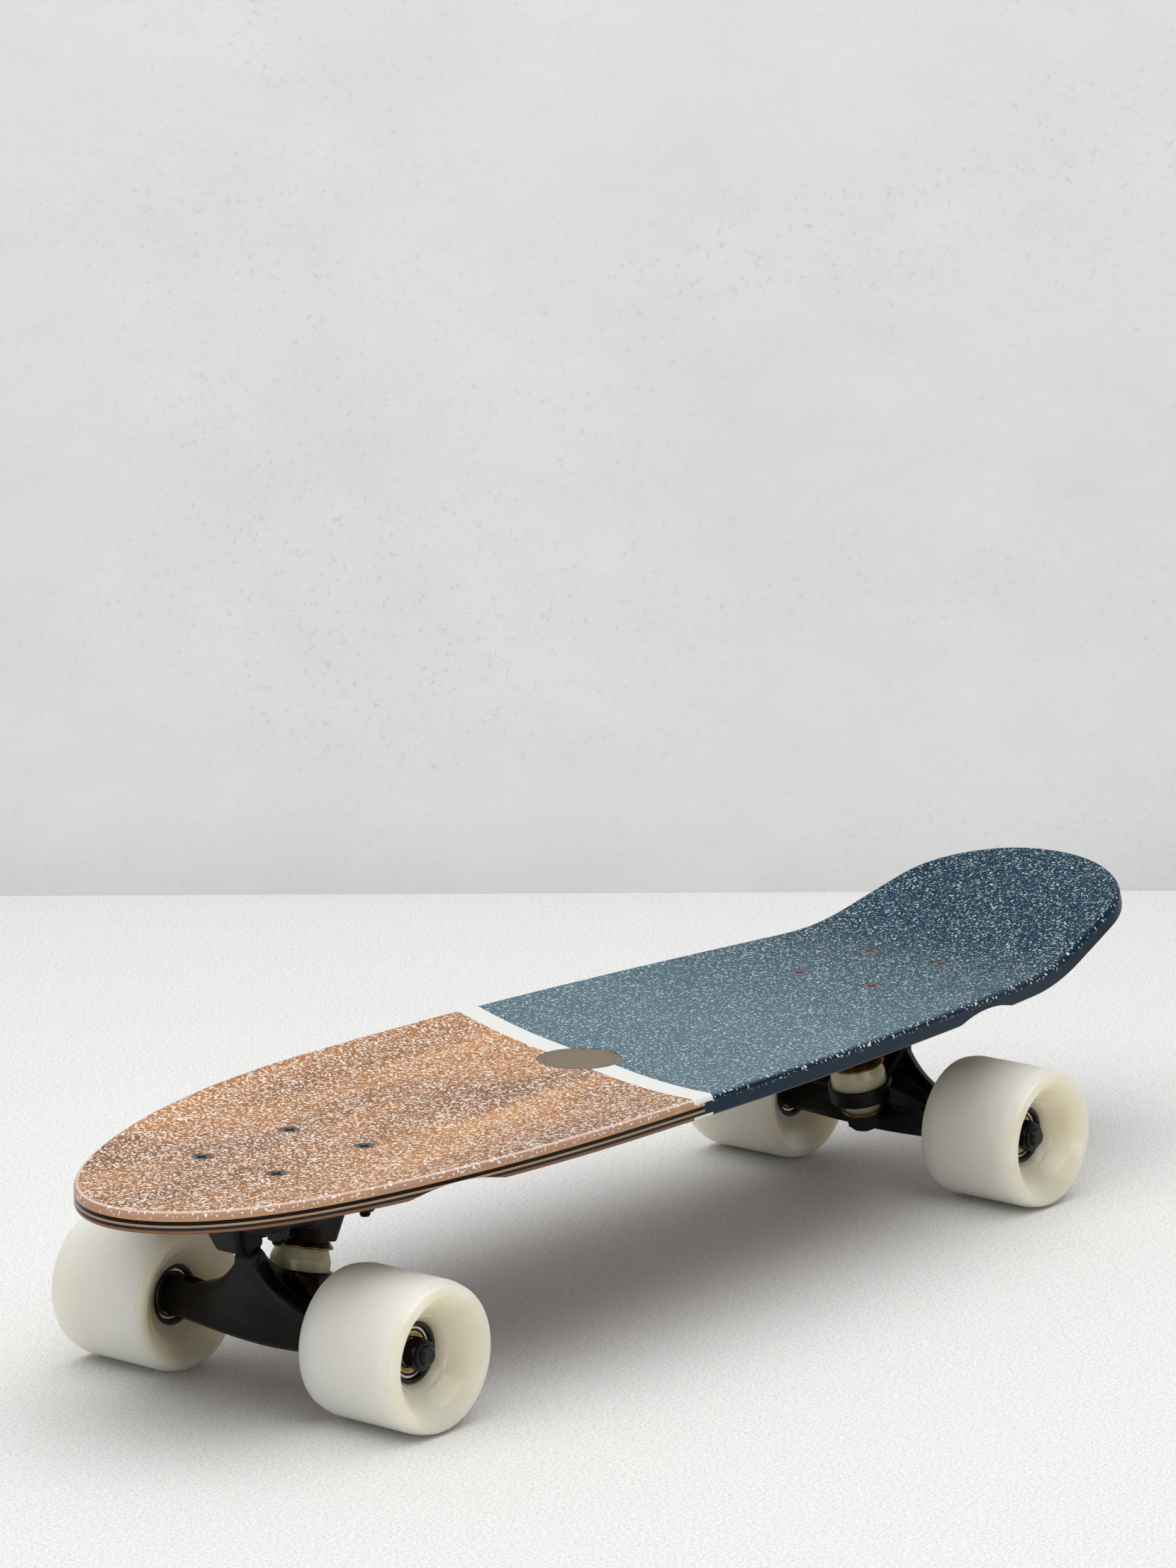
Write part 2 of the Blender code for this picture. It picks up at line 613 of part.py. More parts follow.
def make_baseplate():
    base = flange("baseplate", 0.0, BASE_BOTTOM, BASE_TOP)
    join(base, king_block())
    join(base, pivot_block())
    rib = box("rib", (king_axis_out(BASE_RIB_BOTTOM), -BASE_RIB_WIDTH / 2, BASE_RIB_BOTTOM),
              (PIVOT_BLOCK_INNER + BURIED, BASE_RIB_WIDTH / 2, BASE_BOTTOM + BURIED))
    join(base, rib)
    drill_bolts(base, BASE_BOTTOM, BASE_TOP)
    shank = drum("shank", KING_BORE, king_head_seat() - PAST, CUP_SEAT + PAST, SMALL_SIDES)
    cut(base, move(shank, KING_FRAME))
    pocket = drum("pocket", KINGPIN_HEX / math.sqrt(3) + GAP, king_head_seat() - BASE_RIB_WIDTH,
                  king_head_seat(), SMALL_SIDES)
    cut(base, move(pocket, KING_FRAME))
    socket = drum("socket", PIVOT_CUP_DIAMETER / 2 + GAP, -PIVOT_CUP_MOUTH - PIVOT_STEM_LENGTH,
                  PIVOT_CUP_DEPTH - PIVOT_CUP_MOUTH + GAP, HUB_SIDES)
    return cut(base, move(socket, PIVOT_FRAME))


def king_head_seat():
    """Floor of the kingpin head's pocket, so that the tilted head stays below the base's top."""
    corner = KINGPIN_HEX / math.sqrt(3) * math.sin(KINGPIN_TILT)
    room = (BASE_TOP - GAP - corner - KINGPIN_HEIGHT) / math.cos(KINGPIN_TILT)
    return -(room - KINGPIN_HEAD_HEIGHT) + GAP


def make_kingpin():
    seat = king_head_seat() - GAP
    profile = [(KING_RADIUS, seat - BURIED), (KING_RADIUS, KINGPIN_END - 0.0022),
               (KING_RADIUS * 0.8, KINGPIN_END - 0.0006), (KING_RADIUS * 0.45, KINGPIN_END)]
    pin = turned("kingpin", profile, SMALL_SIDES)
    head = prism("head", hexagon(KINGPIN_HEX), seat - KINGPIN_HEAD_HEIGHT, seat)
    return move(join(head, pin), KING_FRAME)


def make_kingpin_nut():
    low = LOWER_CUP_AT + CUP_THICKNESS + GAP
    nut = hex_nut("kingpin_nut", KINGPIN_HEX, KING_BORE, low, KINGPIN_NUT_HEIGHT, 0.0014)
    return move(nut, KING_FRAME)


def make_cup_washer(diameter, back, lip, flare):
    """A dished washer whose lip stands towards the bushing; lip is the sign and height of it."""
    radius = diameter / 2
    face = back + math.copysign(CUP_THICKNESS, lip)
    rim = face + lip
    profile = [(KING_BORE, back), (radius - flare, back), (radius, blend(rim, back, 0.18)),
               (radius - CUP_RIM / 6, rim), (radius - CUP_RIM, rim),
               (radius - CUP_RIM / 3 - flare, face), (KING_BORE, face)]
    return move(turned("cup_washer", profile, HUB_SIDES, hollow=True), KING_FRAME)


def make_upper_bushing():
    """Cone bushing between the upper cup washer and the yoke, straight where it seats."""
    low, high = -UPPER_CUP_LIP + GAP, YOKE_TOP - GAP
    top, wide = UPPER_BUSHING_TOP / 2, UPPER_BUSHING_WIDE / 2
    profile = [(KING_BORE, low), (top - BUSHING_EDGE, low), (top, low + BUSHING_EDGE),
               (wide - BUSHING_EDGE / 2, blend(low, high, 0.57)), (wide, blend(low, high, 0.66)),
               (wide, high - BUSHING_EDGE), (wide - BUSHING_EDGE, high), (KING_BORE, high)]
    return move(turned("bushing", profile, HUB_SIDES, hollow=True), KING_FRAME)


def make_lower_bushing():
    """Short cone bushing under the yoke."""
    low, high = YOKE_BOTTOM + GAP, LOWER_CUP_AT - GAP
    wide, end = LOWER_BUSHING_WIDE / 2, LOWER_BUSHING_END / 2
    profile = [(KING_BORE, low), (wide, low), (wide, blend(low, high, 0.3)), (end, high),
               (KING_BORE, high)]
    return move(turned("bushing", profile, HUB_SIDES, hollow=True), KING_FRAME)


def make_pivot_cup():
    """Moulded cup that takes the hanger's pivot stem."""
    outer = PIVOT_CUP_DIAMETER / 2
    inner = outer - PIVOT_CUP_WALL
    low, high = -PIVOT_CUP_MOUTH, PIVOT_CUP_DEPTH - PIVOT_CUP_MOUTH
    floor = high - PIVOT_CUP_FLOOR
    profile = [(0.0, floor), (inner, floor), (inner, low), (outer, low), (outer, high), (0.0, high)]
    rings = [circle(radius, height, SMALL_SIDES) for radius, height in profile[1:-1]]
    return move(skin("pivot_cup", rings), PIVOT_FRAME)


def hanger_section(y):
    """One section of the hanger across its width: the arm's circle swelling into the neck."""
    away = abs(y)
    arm = [(AXLE_OUT + ARM_RADIUS * math.cos(math.radians(a)),
            AXLE_HEIGHT + ARM_RADIUS * math.sin(math.radians(a))) for a in ARM_ANGLES]
    fall = math.exp(-max(0.0, away - NECK_TIP) / NECK_FALL)
    neck = between(fall - NECK_TAPER * away / HANGER_SHOULDER, 0.0, 1.0)
    face = 1 - between(away / HANGER_SHOULDER, 0.0, 1.0) ** 1.6
    flat = between((FLAT_END - away) / FLAT_RUN, 0.0, 1.0)
    flat = flat * flat * (3 - 2 * flat)
    points = []
    for k, ((ax, az), (mx, mz)) in enumerate(zip(arm, HANGER_MIDDLE)):
        if 5 <= k <= 9:
            points.append((blend(ax, mx, face), y, blend(az, mz, neck)))
        else:
            share = flat if k >= 10 else face
            points.append((blend(ax, mx, share), y, blend(az, mz, share)))
    return points


def hanger_stations():
    side = (0.0, 0.0040, 0.0070, 0.0105, 0.0150, 0.0205, 0.0280, HANGER_SHOULDER, HANGER_END)
    return [-y for y in reversed(side[1:])] + list(side)


def hanger_neck():
    """Upright neck between the arms and the pivot, with its long edges rounded off."""
    middle = (sum(x for x, z in NECK_SIDE) / len(NECK_SIDE), sum(z for x, z in NECK_SIDE) / len(NECK_SIDE))
    inset = 1 - 2 * NECK_ROUND / (NECK_TOP - middle[1])
    rings = []
    for y, size in ((-NECK_HALF, inset), (NECK_ROUND - NECK_HALF, 1.0), (NECK_HALF - NECK_ROUND, 1.0),
                    (NECK_HALF, inset)):
        rings.append([(blend(middle[0], x, size), y, blend(middle[1], z, size)) for x, z in NECK_SIDE])
    return skin("neck", rings)


def yoke_wing(side):
    """Shoulder that runs from the yoke's side down into one arm."""
    stations = ((0.009, -0.0065, 0.0490, 0.0060, 0.0515, 0.0090),
                (0.014, -0.0055, 0.0475, 0.0070, 0.0500, 0.0085),
                (0.019, -0.0008, 0.0445, 0.0090, 0.0472, 0.0080),
                (0.025, 0.0022, 0.0412, 0.0100, 0.0436, 0.0075),
                (0.031, 0.0050, 0.0380, 0.0105, 0.0405, 0.0060))
    rings = []
    for y, inner, inner_top, outer, outer_top, depth in stations:
        rings.append([(inner, side * y, inner_top), (outer, side * y, outer_top),
                      (outer, side * y, outer_top - depth),
                      (inner + BURIED / 2, side * y, inner_top - depth)])
    return skin("wing", rings)


def yoke_skirt():
    """Web under the yoke's outer half that runs down into the arms."""
    flare = [(-BURIED, GAP - YOKE_DIAMETER / 2), (-0.0065, -0.0155), (-0.0095, -0.0178),
             (-0.0125, -0.0190), (-0.0160, -0.0190)]
    back = flare[-1][0]
    rings = []
    for share in (0.0, 0.5, 1.0):
        height = blend(YOKE_BOTTOM - BURIED, SKIRT_END, share)
        side = [(max(x - SKIRT_RETREAT * share, back), y) for x, y in flare[:-2]]
        side += [(max(flare[-2][0] - SKIRT_RETREAT * share / 2, back), flare[-2][1]), flare[-1]]
        rings.append([(x, y, height) for x, y in side + [(x, -y) for x, y in reversed(side)]])
    return skin("skirt", rings)


def yoke_ring():
    """Ring round the kingpin, from its rim down to the seat of the lower bushing."""
    radius = YOKE_DIAMETER / 2
    top = YOKE_TOP - YOKE_RIM
    profile = [(radius - BUSHING_EDGE, top), (radius, top + BUSHING_EDGE),
               (radius, YOKE_BOTTOM - BUSHING_EDGE), (radius - BUSHING_EDGE, YOKE_BOTTOM)]
    return turned("ring", profile, YOKE_SIDES)


def pivot_stem():
    """Round stem with a domed tip that turns in the pivot cup."""
    tip = PIVOT_CUP_DEPTH - PIVOT_CUP_MOUTH - PIVOT_CUP_FLOOR - PIVOT_TIP_AIR
    radius = PIVOT_CUP_DIAMETER / 2 - PIVOT_CUP_WALL - GAP
    root = tip - PIVOT_STEM_LENGTH
    profile = [(radius * 0.7, root), (radius, root + radius), (radius, tip - radius * 0.8)]
    profile += [(radius * math.cos(a), tip - radius * 0.8 + radius * 0.8 * math.sin(a))
                for a in (math.radians(30), math.radians(60), math.radians(80))]
    return move(turned("stem", profile, SMALL_SIDES), PIVOT_FRAME)


def arm_pocket(side):
    """Cutter of the oval pocket in the top of one arm."""
    outline = [(POCKET_WIDTH / 2 * math.cos(a), POCKET_LENGTH / 2 * math.sin(a))
               for a in (2 * math.pi * i / 12 for i in range(12))]
    rings = [[(AXLE_OUT + x * size, side * POCKET_AT + y * size, z) for x, y in outline]
             for size, z in ((0.7, POCKET_FLOOR), (1.0, POCKET_FLOOR + 0.0025), (1.15, 0.052))]
    return skin("pocket", rings)


def make_hanger():
    hanger = skin("hanger", [hanger_section(y) for y in hanger_stations()])
    join(hanger, hanger_neck())
    for side in (1, -1):
        join(hanger, yoke_wing(side))
    join(hanger, move(yoke_skirt(), KING_FRAME))
    cavity = drum("cavity", CAVITY_RADIUS, YOKE_BOTTOM - BURIED / 2, CAVITY_END, YOKE_SIDES)
    cut(hanger, move(cavity, KING_FRAME))
    join(hanger, move(yoke_ring(), KING_FRAME))
    seat = drum("seat", UPPER_BUSHING_WIDE / 2 + GAP, -PAST, YOKE_TOP, YOKE_SIDES)
    cut(hanger, move(seat, KING_FRAME))
    cut(hanger, move(drum("hole", YOKE_HOLE / 2, -PAST, YOKE_BOTTOM + PAST, HUB_SIDES), KING_FRAME))
    join(hanger, pivot_stem())
    bore = drum("bore", AXLE_RADIUS + GAP, -HANGER_WIDTH, HANGER_WIDTH, SMALL_SIDES)
    move(bore, Matrix.Rotation(math.pi / 2, 4, 'X'))
    cut(hanger, move(bore, Matrix.Translation((AXLE_OUT, 0.0, AXLE_HEIGHT))))
    for side in (1, -1):
        cut(hanger, arm_pocket(side))
    return hanger


def make_axle():
    """Rod about Z with chamfered ends."""
    half = AXLE_LENGTH / 2
    chamfer = AXLE_RADIUS * 0.2
    profile = [(AXLE_RADIUS - chamfer, -half), (AXLE_RADIUS, chamfer - half),
               (AXLE_RADIUS, half - chamfer), (AXLE_RADIUS - chamfer, half)]
    return turned("axle", profile, SMALL_SIDES)


def make_axle_nut():
    """Lock nut about Z, outboard of the outer bearing's washer."""
    low = OUTBOARD_BEARING + BEARING_WIDTH + WASHER_THICKNESS + GAP
    return hex_nut("nut", AXLE_NUT_FLATS, AXLE_RADIUS + GAP, low, AXLE_NUT_HEIGHT, AXLE_NUT_COLLAR)


def make_inner_race(washer_side):
    """Inner ring of a bearing with its speed washer, about Z, from the inboard face at 0."""
    bore = AXLE_RADIUS + GAP
    ring = BEARING_INNER_DIAMETER / 2
    washer = WASHER_DIAMETER / 2
    profile = [(bore, -WASHER_THICKNESS), (washer, -WASHER_THICKNESS), (washer, 0.0), (ring, 0.0),
               (ring, BEARING_WIDTH), (bore, BEARING_WIDTH)]
    if washer_side > 0:
        profile = [(radius, BEARING_WIDTH - z) for radius, z in profile]
    return turned("inner_race", profile, RACE_SIDES, hollow=True)


def make_outer_race(shield_side):
    """Outer ring of a bearing with its shield set back a little on the side that shows."""
    outer = BEARING_DIAMETER / 2
    shield = outer - 0.0016
    inner = BEARING_INNER_DIAMETER / 2 + GAP
    profile = [(inner, 0.0), (outer, 0.0), (outer, BEARING_WIDTH), (shield, BEARING_WIDTH),
               (shield - 0.0003, BEARING_WIDTH - BEARING_SHIELD_SET),
               (inner, BEARING_WIDTH - BEARING_SHIELD_SET)]
    if shield_side < 0:
        profile = [(radius, BEARING_WIDTH - z) for radius, z in profile]
    return turned("outer_race", profile, RACE_SIDES, hollow=True)


def core_ends():
    """Inboard and outboard ends of the core, from the wheel's middle."""
    return (INBOARD_BEARING - CORE_LIP - WHEEL_Y,
            OUTBOARD_BEARING + BEARING_WIDTH + CORE_LIP - WHEEL_Y)


def make_core():
    """Moulded core about Z with a seat for a bearing at each end."""
    low, high = core_ends()
    seat = BEARING_DIAMETER / 2 + GAP
    stop_low = INBOARD_BEARING + BEARING_WIDTH + GAP - WHEEL_Y
    stop_high = OUTBOARD_BEARING - GAP - WHEEL_Y
    profile = [(seat, low), (CORE_RADIUS, low), (CORE_RADIUS, high), (seat, high),
               (seat, stop_high), (CORE_SHOULDER, stop_high), (CORE_SHOULDER, stop_low),
               (seat, stop_low)]
    return turned("core", profile, HUB_SIDES, hollow=True)


def make_tyre():
    """Cast wheel about Z with dished sides and rolled lips, open around its core.

    The tread's facets touch the true radius at their middles, so that the wheel stands on z = 0.
    """
    half = WHEEL_WIDTH / 2
    bore = CORE_RADIUS + GAP
    low, high = core_ends()
    corner = 1 / math.cos(math.pi / TYRE_SIDES)
    outer = [(WHEEL_RADIUS * corner, TREAD_HALF)]
    for i in range(4):
        angle = LIP_TURN * i / 3
        outer.append(((LIP_RADIUS + LIP_ROUND * math.cos(angle)) * corner,
                      half - LIP_ROUND + LIP_ROUND * math.sin(angle)))
    profile = [(bore, high + GAP)] + list(RING_STEP) + [DISH_BEND]
    profile += list(reversed(outer))
    profile += [(radius, -z) for radius, z in outer]
    profile += [(INNER_MOUTH, low - GAP), (bore, low - GAP)]
    return turned("tyre", profile, TYRE_SIDES, hollow=True)


def empty(name, parent, matrix):
    """An empty that carries other objects, placed in its parent's frame."""
    made = bpy.data.objects.new(name, None)
    bpy.context.collection.objects.link(made)
    made.empty_display_size = 0.02
    made.parent = parent
    made.matrix_basis = matrix
    return made


def install(name, shape, surface, parent, matrix=Matrix()):
    """Give one piece its own object, on a mesh that its twins may share."""
    made = bpy.data.objects.new(name, shape.data)
    bpy.context.collection.objects.link(made)
    made.parent = parent
    made.matrix_basis = matrix
    if not shape.data.materials:
        shape.data.materials.append(surface)
    return made


def smooth(shape, degrees=35):
    """Split the many-sided faces once, the same for every copy, and shade the round ones smooth."""
    faces = bmesh.new()
    faces.from_mesh(shape.data)
    bmesh.ops.triangulate(faces, faces=[face for face in faces.faces if len(face.verts) > 4])
    faces.to_mesh(shape.data)
    faces.free()
    shape.data.shade_smooth()
    shape.data.set_sharp_from_angle(angle=math.radians(degrees))
    return shape


def make_shapes():
    """Every different piece once, in its own frame."""
    shapes = {
        "bolt": make_bolt(),
        "riser": make_riser(),
        "baseplate": make_baseplate(),
        "pivot_cup": make_pivot_cup(),
        "kingpin": make_kingpin(),
        "kingpin_nut": make_kingpin_nut(),
        "upper_cup_washer": make_cup_washer(UPPER_CUP_DIAMETER, CUP_SEAT + GAP, UPPER_CUP_LIP,
                                            UPPER_CUP_FLARE),
        "upper_bushing": make_upper_bushing(),
        "lower_bushing": make_lower_bushing(),
        "lower_cup_washer": make_cup_washer(LOWER_CUP_DIAMETER, LOWER_CUP_AT + CUP_THICKNESS,
                                            -LOWER_CUP_LIP, LOWER_CUP_FLARE),
        "hanger": make_hanger(),
        "axle": make_axle(),
        "axle_nut": make_axle_nut(),
        "inboard_inner_race": make_inner_race(-1),
        "outboard_inner_race": make_inner_race(1),
        "inboard_outer_race": make_outer_race(-1),
        "outboard_outer_race": make_outer_race(1),
        "core": make_core(),
        "tyre": make_tyre(),
    }
    return {name: smooth(shape) for name, shape in shapes.items()}


def make_surfaces():
    """Colours and finishes read from the photograph."""
    return {
        "deck": material("deck", (0.42, 0.26, 0.13), 0.45, 0.0),
        "badge": material("badge_metal", (0.27, 0.21, 0.15), 0.45, 0.8),
        "black_cast": material("black_cast", (0.012, 0.012, 0.013), 0.38, 0.3),
        "black_steel": material("black_steel", (0.02, 0.02, 0.022), 0.35, 0.8),
        "bronze": material("bronze", (0.33, 0.21, 0.10), 0.32, 1.0),
        "cream": material("cream_urethane", (0.72, 0.69, 0.56), 0.5, 0.0),
        "ivory": material("ivory_urethane", (0.77, 0.72, 0.62), 0.42, 0.0),
        "black_nylon": material("black_nylon", (0.015, 0.015, 0.016), 0.5, 0.0),
        "steel": material("bearing_steel", (0.62, 0.62, 0.60), 0.25, 1.0),
        "shield": material("shield_metal", (0.52, 0.42, 0.25), 0.35, 1.0),
    }


def along_y(distance, side):
    """Frame that stands a piece turned about Z along the axle, outboard on one side."""
    return Matrix.Rotation(-side * math.pi / 2, 4, 'X') @ Matrix.Translation((0.0, 0.0, distance))


def build_truck(end, root, shapes, surfaces):
    """One truck: the pieces bolted to the deck, the hanger on its pivot, and two wheels."""
    fixed = (("riser", "black_nylon"), ("baseplate", "black_cast"), ("pivot_cup", "black_nylon"),
             ("kingpin", "black_steel"),
             ("kingpin_nut", "black_steel"), ("upper_cup_washer", "bronze"),
             ("upper_bushing", "cream"), ("lower_bushing", "cream"), ("lower_cup_washer", "bronze"))
    for piece, surface in fixed:
        install(f"{end}_{piece}", shapes[piece], surfaces[surface], root)
    for number, (x, y) in enumerate(bolt_places(), 1):
        install(f"{end}_bolt_{number}", shapes["bolt"], surfaces["black_steel"], root,
                Matrix.Translation((x, y, 0.0)))
    steer = empty(f"{end}_steer_axis", root, Matrix.Translation(PIVOT_CENTRE))
    back = Matrix.Translation(-PIVOT_CENTRE)
    install(f"{end}_hanger", shapes["hanger"], surfaces["black_cast"], steer, back)
    middle = back @ Matrix.Translation((AXLE_OUT, 0.0, AXLE_HEIGHT))
    install(f"{end}_axle", shapes["axle"], surfaces["black_steel"], steer, middle @ along_y(0.0, 1))
    turn = 1 if end == "front" else -1
    for side_name, left in (("left", 1), ("right", -1)):
        side = left * turn
        place = f"{end}_{side_name}"
        install(f"{place}_axle_nut", shapes["axle_nut"], surfaces["black_steel"], steer,
                middle @ along_y(0.0, side))
        spin = empty(f"{place}_spin_axis", steer,
                     middle @ Matrix.Translation((0.0, side * WHEEL_Y, 0.0)))
        for row, start in (("inboard", INBOARD_BEARING), ("outboard", OUTBOARD_BEARING)):
            install(f"{place}_{row}_inner_race", shapes[f"{row}_inner_race"], surfaces["steel"],
                    steer, middle @ along_y(start, side))
            install(f"{place}_{row}_outer_race", shapes[f"{row}_outer_race"], surfaces["shield"],
                    spin, along_y(start - WHEEL_Y, side))
        install(f"{place}_core", shapes["core"], surfaces["black_nylon"], spin, along_y(0.0, side))
        install(f"{place}_tyre", shapes["tyre"], surfaces["ivory"], spin, along_y(0.0, side))


def main():
    clear_scene()
    shapes = make_shapes()
    surfaces = make_surfaces()
    deck = smooth(make_deck())
    badge = smooth(make_badge())
    reach = [vertex.co.x for vertex in deck.data.vertices]
    front = -(max(reach) + min(reach)) / 2
    front_root = empty("front_truck", None, Matrix.Translation((front, 0.0, 0.0)))
    rear_root = empty("rear_truck", None, Matrix.Translation((front - BOLT_SPAN, 0.0, 0.0))
                      @ Matrix.Rotation(math.pi, 4, 'Z'))
    deck.data.materials.append(surfaces["deck"])
    deck.location.x = front
    badge.data.materials.append(surfaces["badge"])
    badge.location.x = front + BADGE_X - BOLT_SPAN
    build_truck("front", front_root, shapes, surfaces)
    build_truck("rear", rear_root, shapes, surfaces)
    for shape in shapes.values():
        bpy.data.objects.remove(shape, do_unlink=True)


main()
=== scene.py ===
# Cruiser skateboard: finishes, fine meshes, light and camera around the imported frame. Units are metres.
import math

import bmesh
import bpy
from mathutils import Matrix, Vector


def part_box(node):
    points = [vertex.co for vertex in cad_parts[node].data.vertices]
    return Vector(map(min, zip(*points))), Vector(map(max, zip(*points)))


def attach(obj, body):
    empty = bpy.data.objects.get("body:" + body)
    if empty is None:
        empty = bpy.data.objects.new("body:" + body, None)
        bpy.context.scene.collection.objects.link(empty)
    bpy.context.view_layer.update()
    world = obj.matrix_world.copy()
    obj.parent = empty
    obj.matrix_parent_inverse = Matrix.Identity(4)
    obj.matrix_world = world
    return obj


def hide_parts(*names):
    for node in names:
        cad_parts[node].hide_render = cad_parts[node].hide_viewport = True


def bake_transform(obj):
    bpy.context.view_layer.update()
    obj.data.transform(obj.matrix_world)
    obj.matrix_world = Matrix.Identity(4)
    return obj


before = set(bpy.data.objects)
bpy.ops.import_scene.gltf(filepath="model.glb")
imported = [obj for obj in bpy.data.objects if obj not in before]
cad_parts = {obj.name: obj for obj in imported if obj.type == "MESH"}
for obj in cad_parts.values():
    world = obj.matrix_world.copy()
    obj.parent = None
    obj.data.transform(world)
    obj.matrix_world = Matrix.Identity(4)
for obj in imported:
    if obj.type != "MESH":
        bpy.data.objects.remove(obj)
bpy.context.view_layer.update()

# Photograph: its size in pixels and where it was taken from, in the frame
PHOTO_HEIGHT = 2212
CAMERA_PLACE = Vector((2.0451, 1.6480, 0.7748))
CAMERA_FOCAL = 8710.6           # in pixels
CAMERA_YAW = math.radians(-140.775)
CAMERA_PITCH = math.radians(11.987)
CAMERA_ROLL = math.radians(0.261)
SENSOR = 36.0
WALL_DISTANCE = 3.356           # along the floor from the camera
WALL_HEIGHT = 3.2
STAGE_HALF = 4.0                # half the width of wall and floor
FLOOR_LENGTH = 6.0

# Light: the world's strength, then each lamp's place, aim, size and power
WORLD_STRENGTH = 0.15
LAMPS = {
    "overhead_window": ((0.3, 0.15, 1.8), (0.0, 0.0, 0.0), (2.6, 2.6), 44.5),
    "left_window": ((2.6, 0.3, 0.45), (0.0, 0.0, 0.06), (1.6, 0.7), 9.0),
    "near_window": ((0.6, 2.8, 0.45), (0.0, 0.0, 0.06), (1.6, 0.7), 9.0),
}

# Deck, in lengths along its surface
DECK_THICKNESS = 0.0095
DECK_TOP = 0.1006
NOSE_CURVE = 0.2237
TAPER_START = 0.1483
TAPER_POWER = 1.85
TAIL_WIDTH = 0.1076
TAIL_CURVE = 0.0467
TAIL_POWER = 2.17
TAIL_LENGTH = 0.1529
KICK_START = 0.0275
KICK_RADIUS = 0.141
KICK_ANGLE = math.radians(16.6)
FLAT_STRIP = 0.058
NOSE_CONCAVE = 0.0051
REAR_CONCAVE = 0.0023
TOP_EDGE_ROUND = 0.0030
BOTTOM_EDGE_ROUND = 0.0012
DECK_STATIONS = 150
DECK_COLUMNS = 24
WELL_INBOARD = 0.0155
WELL_RADIUS = 0.089
WELL_DEPTH = 0.0036
WELL_INNER = 0.042

# Painted stripe between the two halves
STRIPE_X = 0.0325
STRIPE_SLANT = math.tan(math.radians(17.8))
STRIPE_HALF = 0.0065

# Plies at the deck's edge: height of the top of each above the underside, then colours from below
PLY_BROWN = 0.00155
PLY_SLATE = 0.00280
PLY_TAN = 0.00375
PLY_BLACK = 0.00545
PLY_ORANGE = 0.00700
PLIES = ((0.0, (132, 94, 68)), (PLY_BROWN, (34, 37, 41)), (PLY_SLATE, (168, 134, 100)),
         (PLY_TAN, (11, 10, 10)), (PLY_BLACK, (186, 142, 106)), (PLY_ORANGE, (176, 126, 102)))

# Heights at the deck's edge where a finish ends
TOP_SKIN = 0.0068               # the stripe's lower end
PAINT_LOW = 0.0005              # the paint's lower end
UNDERSIDE = 0.0004              # below it the wood is dusty
EDGE_PAINT_STEP = 0.0008        # the paint on the inner plies starts so far behind the stripe's middle

# Gap kept between touching pieces, as in the CAD, and how far a cutter reaches past what it cuts
GAP = 0.0003
CUT_PAST = 0.004

# Faces that meet more steeply than this keep a sharp edge
SHARP_ANGLE = math.radians(40)


def srgb(red, green, blue):
    """Linear colour of a display colour from 0 to 255."""
    parts = []
    for value in (red, green, blue):
        share = value / 255
        parts.append(share / 12.92 if share <= 0.04045 else ((share + 0.055) / 1.055) ** 2.4)
    return (*parts, 1.0)


def middle(name):
    low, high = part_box(name)
    return (Vector(low) + Vector(high)) / 2


def bolt_centre(end):
    return sum(middle(f"{end}_bolt_{i}").x for i in range(1, 5)) / 4


FRONT_X = bolt_centre("front")
REAR_X = bolt_centre("rear")
BOLT_SPAN = FRONT_X - REAR_X
NOSE_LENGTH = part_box("deck")[1][0] - FRONT_X
DECK_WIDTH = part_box("deck")[1][1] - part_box("deck")[0][1]
TRUCK = {"front": Matrix.Translation((FRONT_X, 0.0, 0.0)),
         "rear": Matrix.Translation((REAR_X, 0.0, 0.0)) @ Matrix.Rotation(math.pi, 4, 'Z')}


# Shader helpers

class Field:
    """Output of a shader node. Arithmetic and comparisons on it add math nodes."""

    def __init__(self, paint, socket):
        self.paint = paint
        self.socket = socket

    def calc(self, operation, first, second=0.0):
        return self.paint.node("Math", {0: first, 1: second}, operation=operation)

    def __radd__(self, other):
        return self.calc('ADD', other, self)

    def __rsub__(self, other):
        return self.calc('SUBTRACT', other, self)

    def step(self, low, high):
        """0 below low, 1 above high, even between."""
        return self.paint.node("MapRange", {"Value": self, "From Min": low, "From Max": high}, "Result")


for method, operation in (("__add__", 'ADD'), ("__sub__", 'SUBTRACT'), ("__mul__", 'MULTIPLY'),
                          ("__truediv__", 'DIVIDE'), ("__gt__", 'GREATER_THAN'), ("__lt__", 'LESS_THAN'),
                          ("__abs__", 'ABSOLUTE'), ("sine", 'SINE'), ("either", 'MAXIMUM')):
    setattr(Field, method, lambda self, other=0.0, operation=operation: self.calc(operation, self, other))


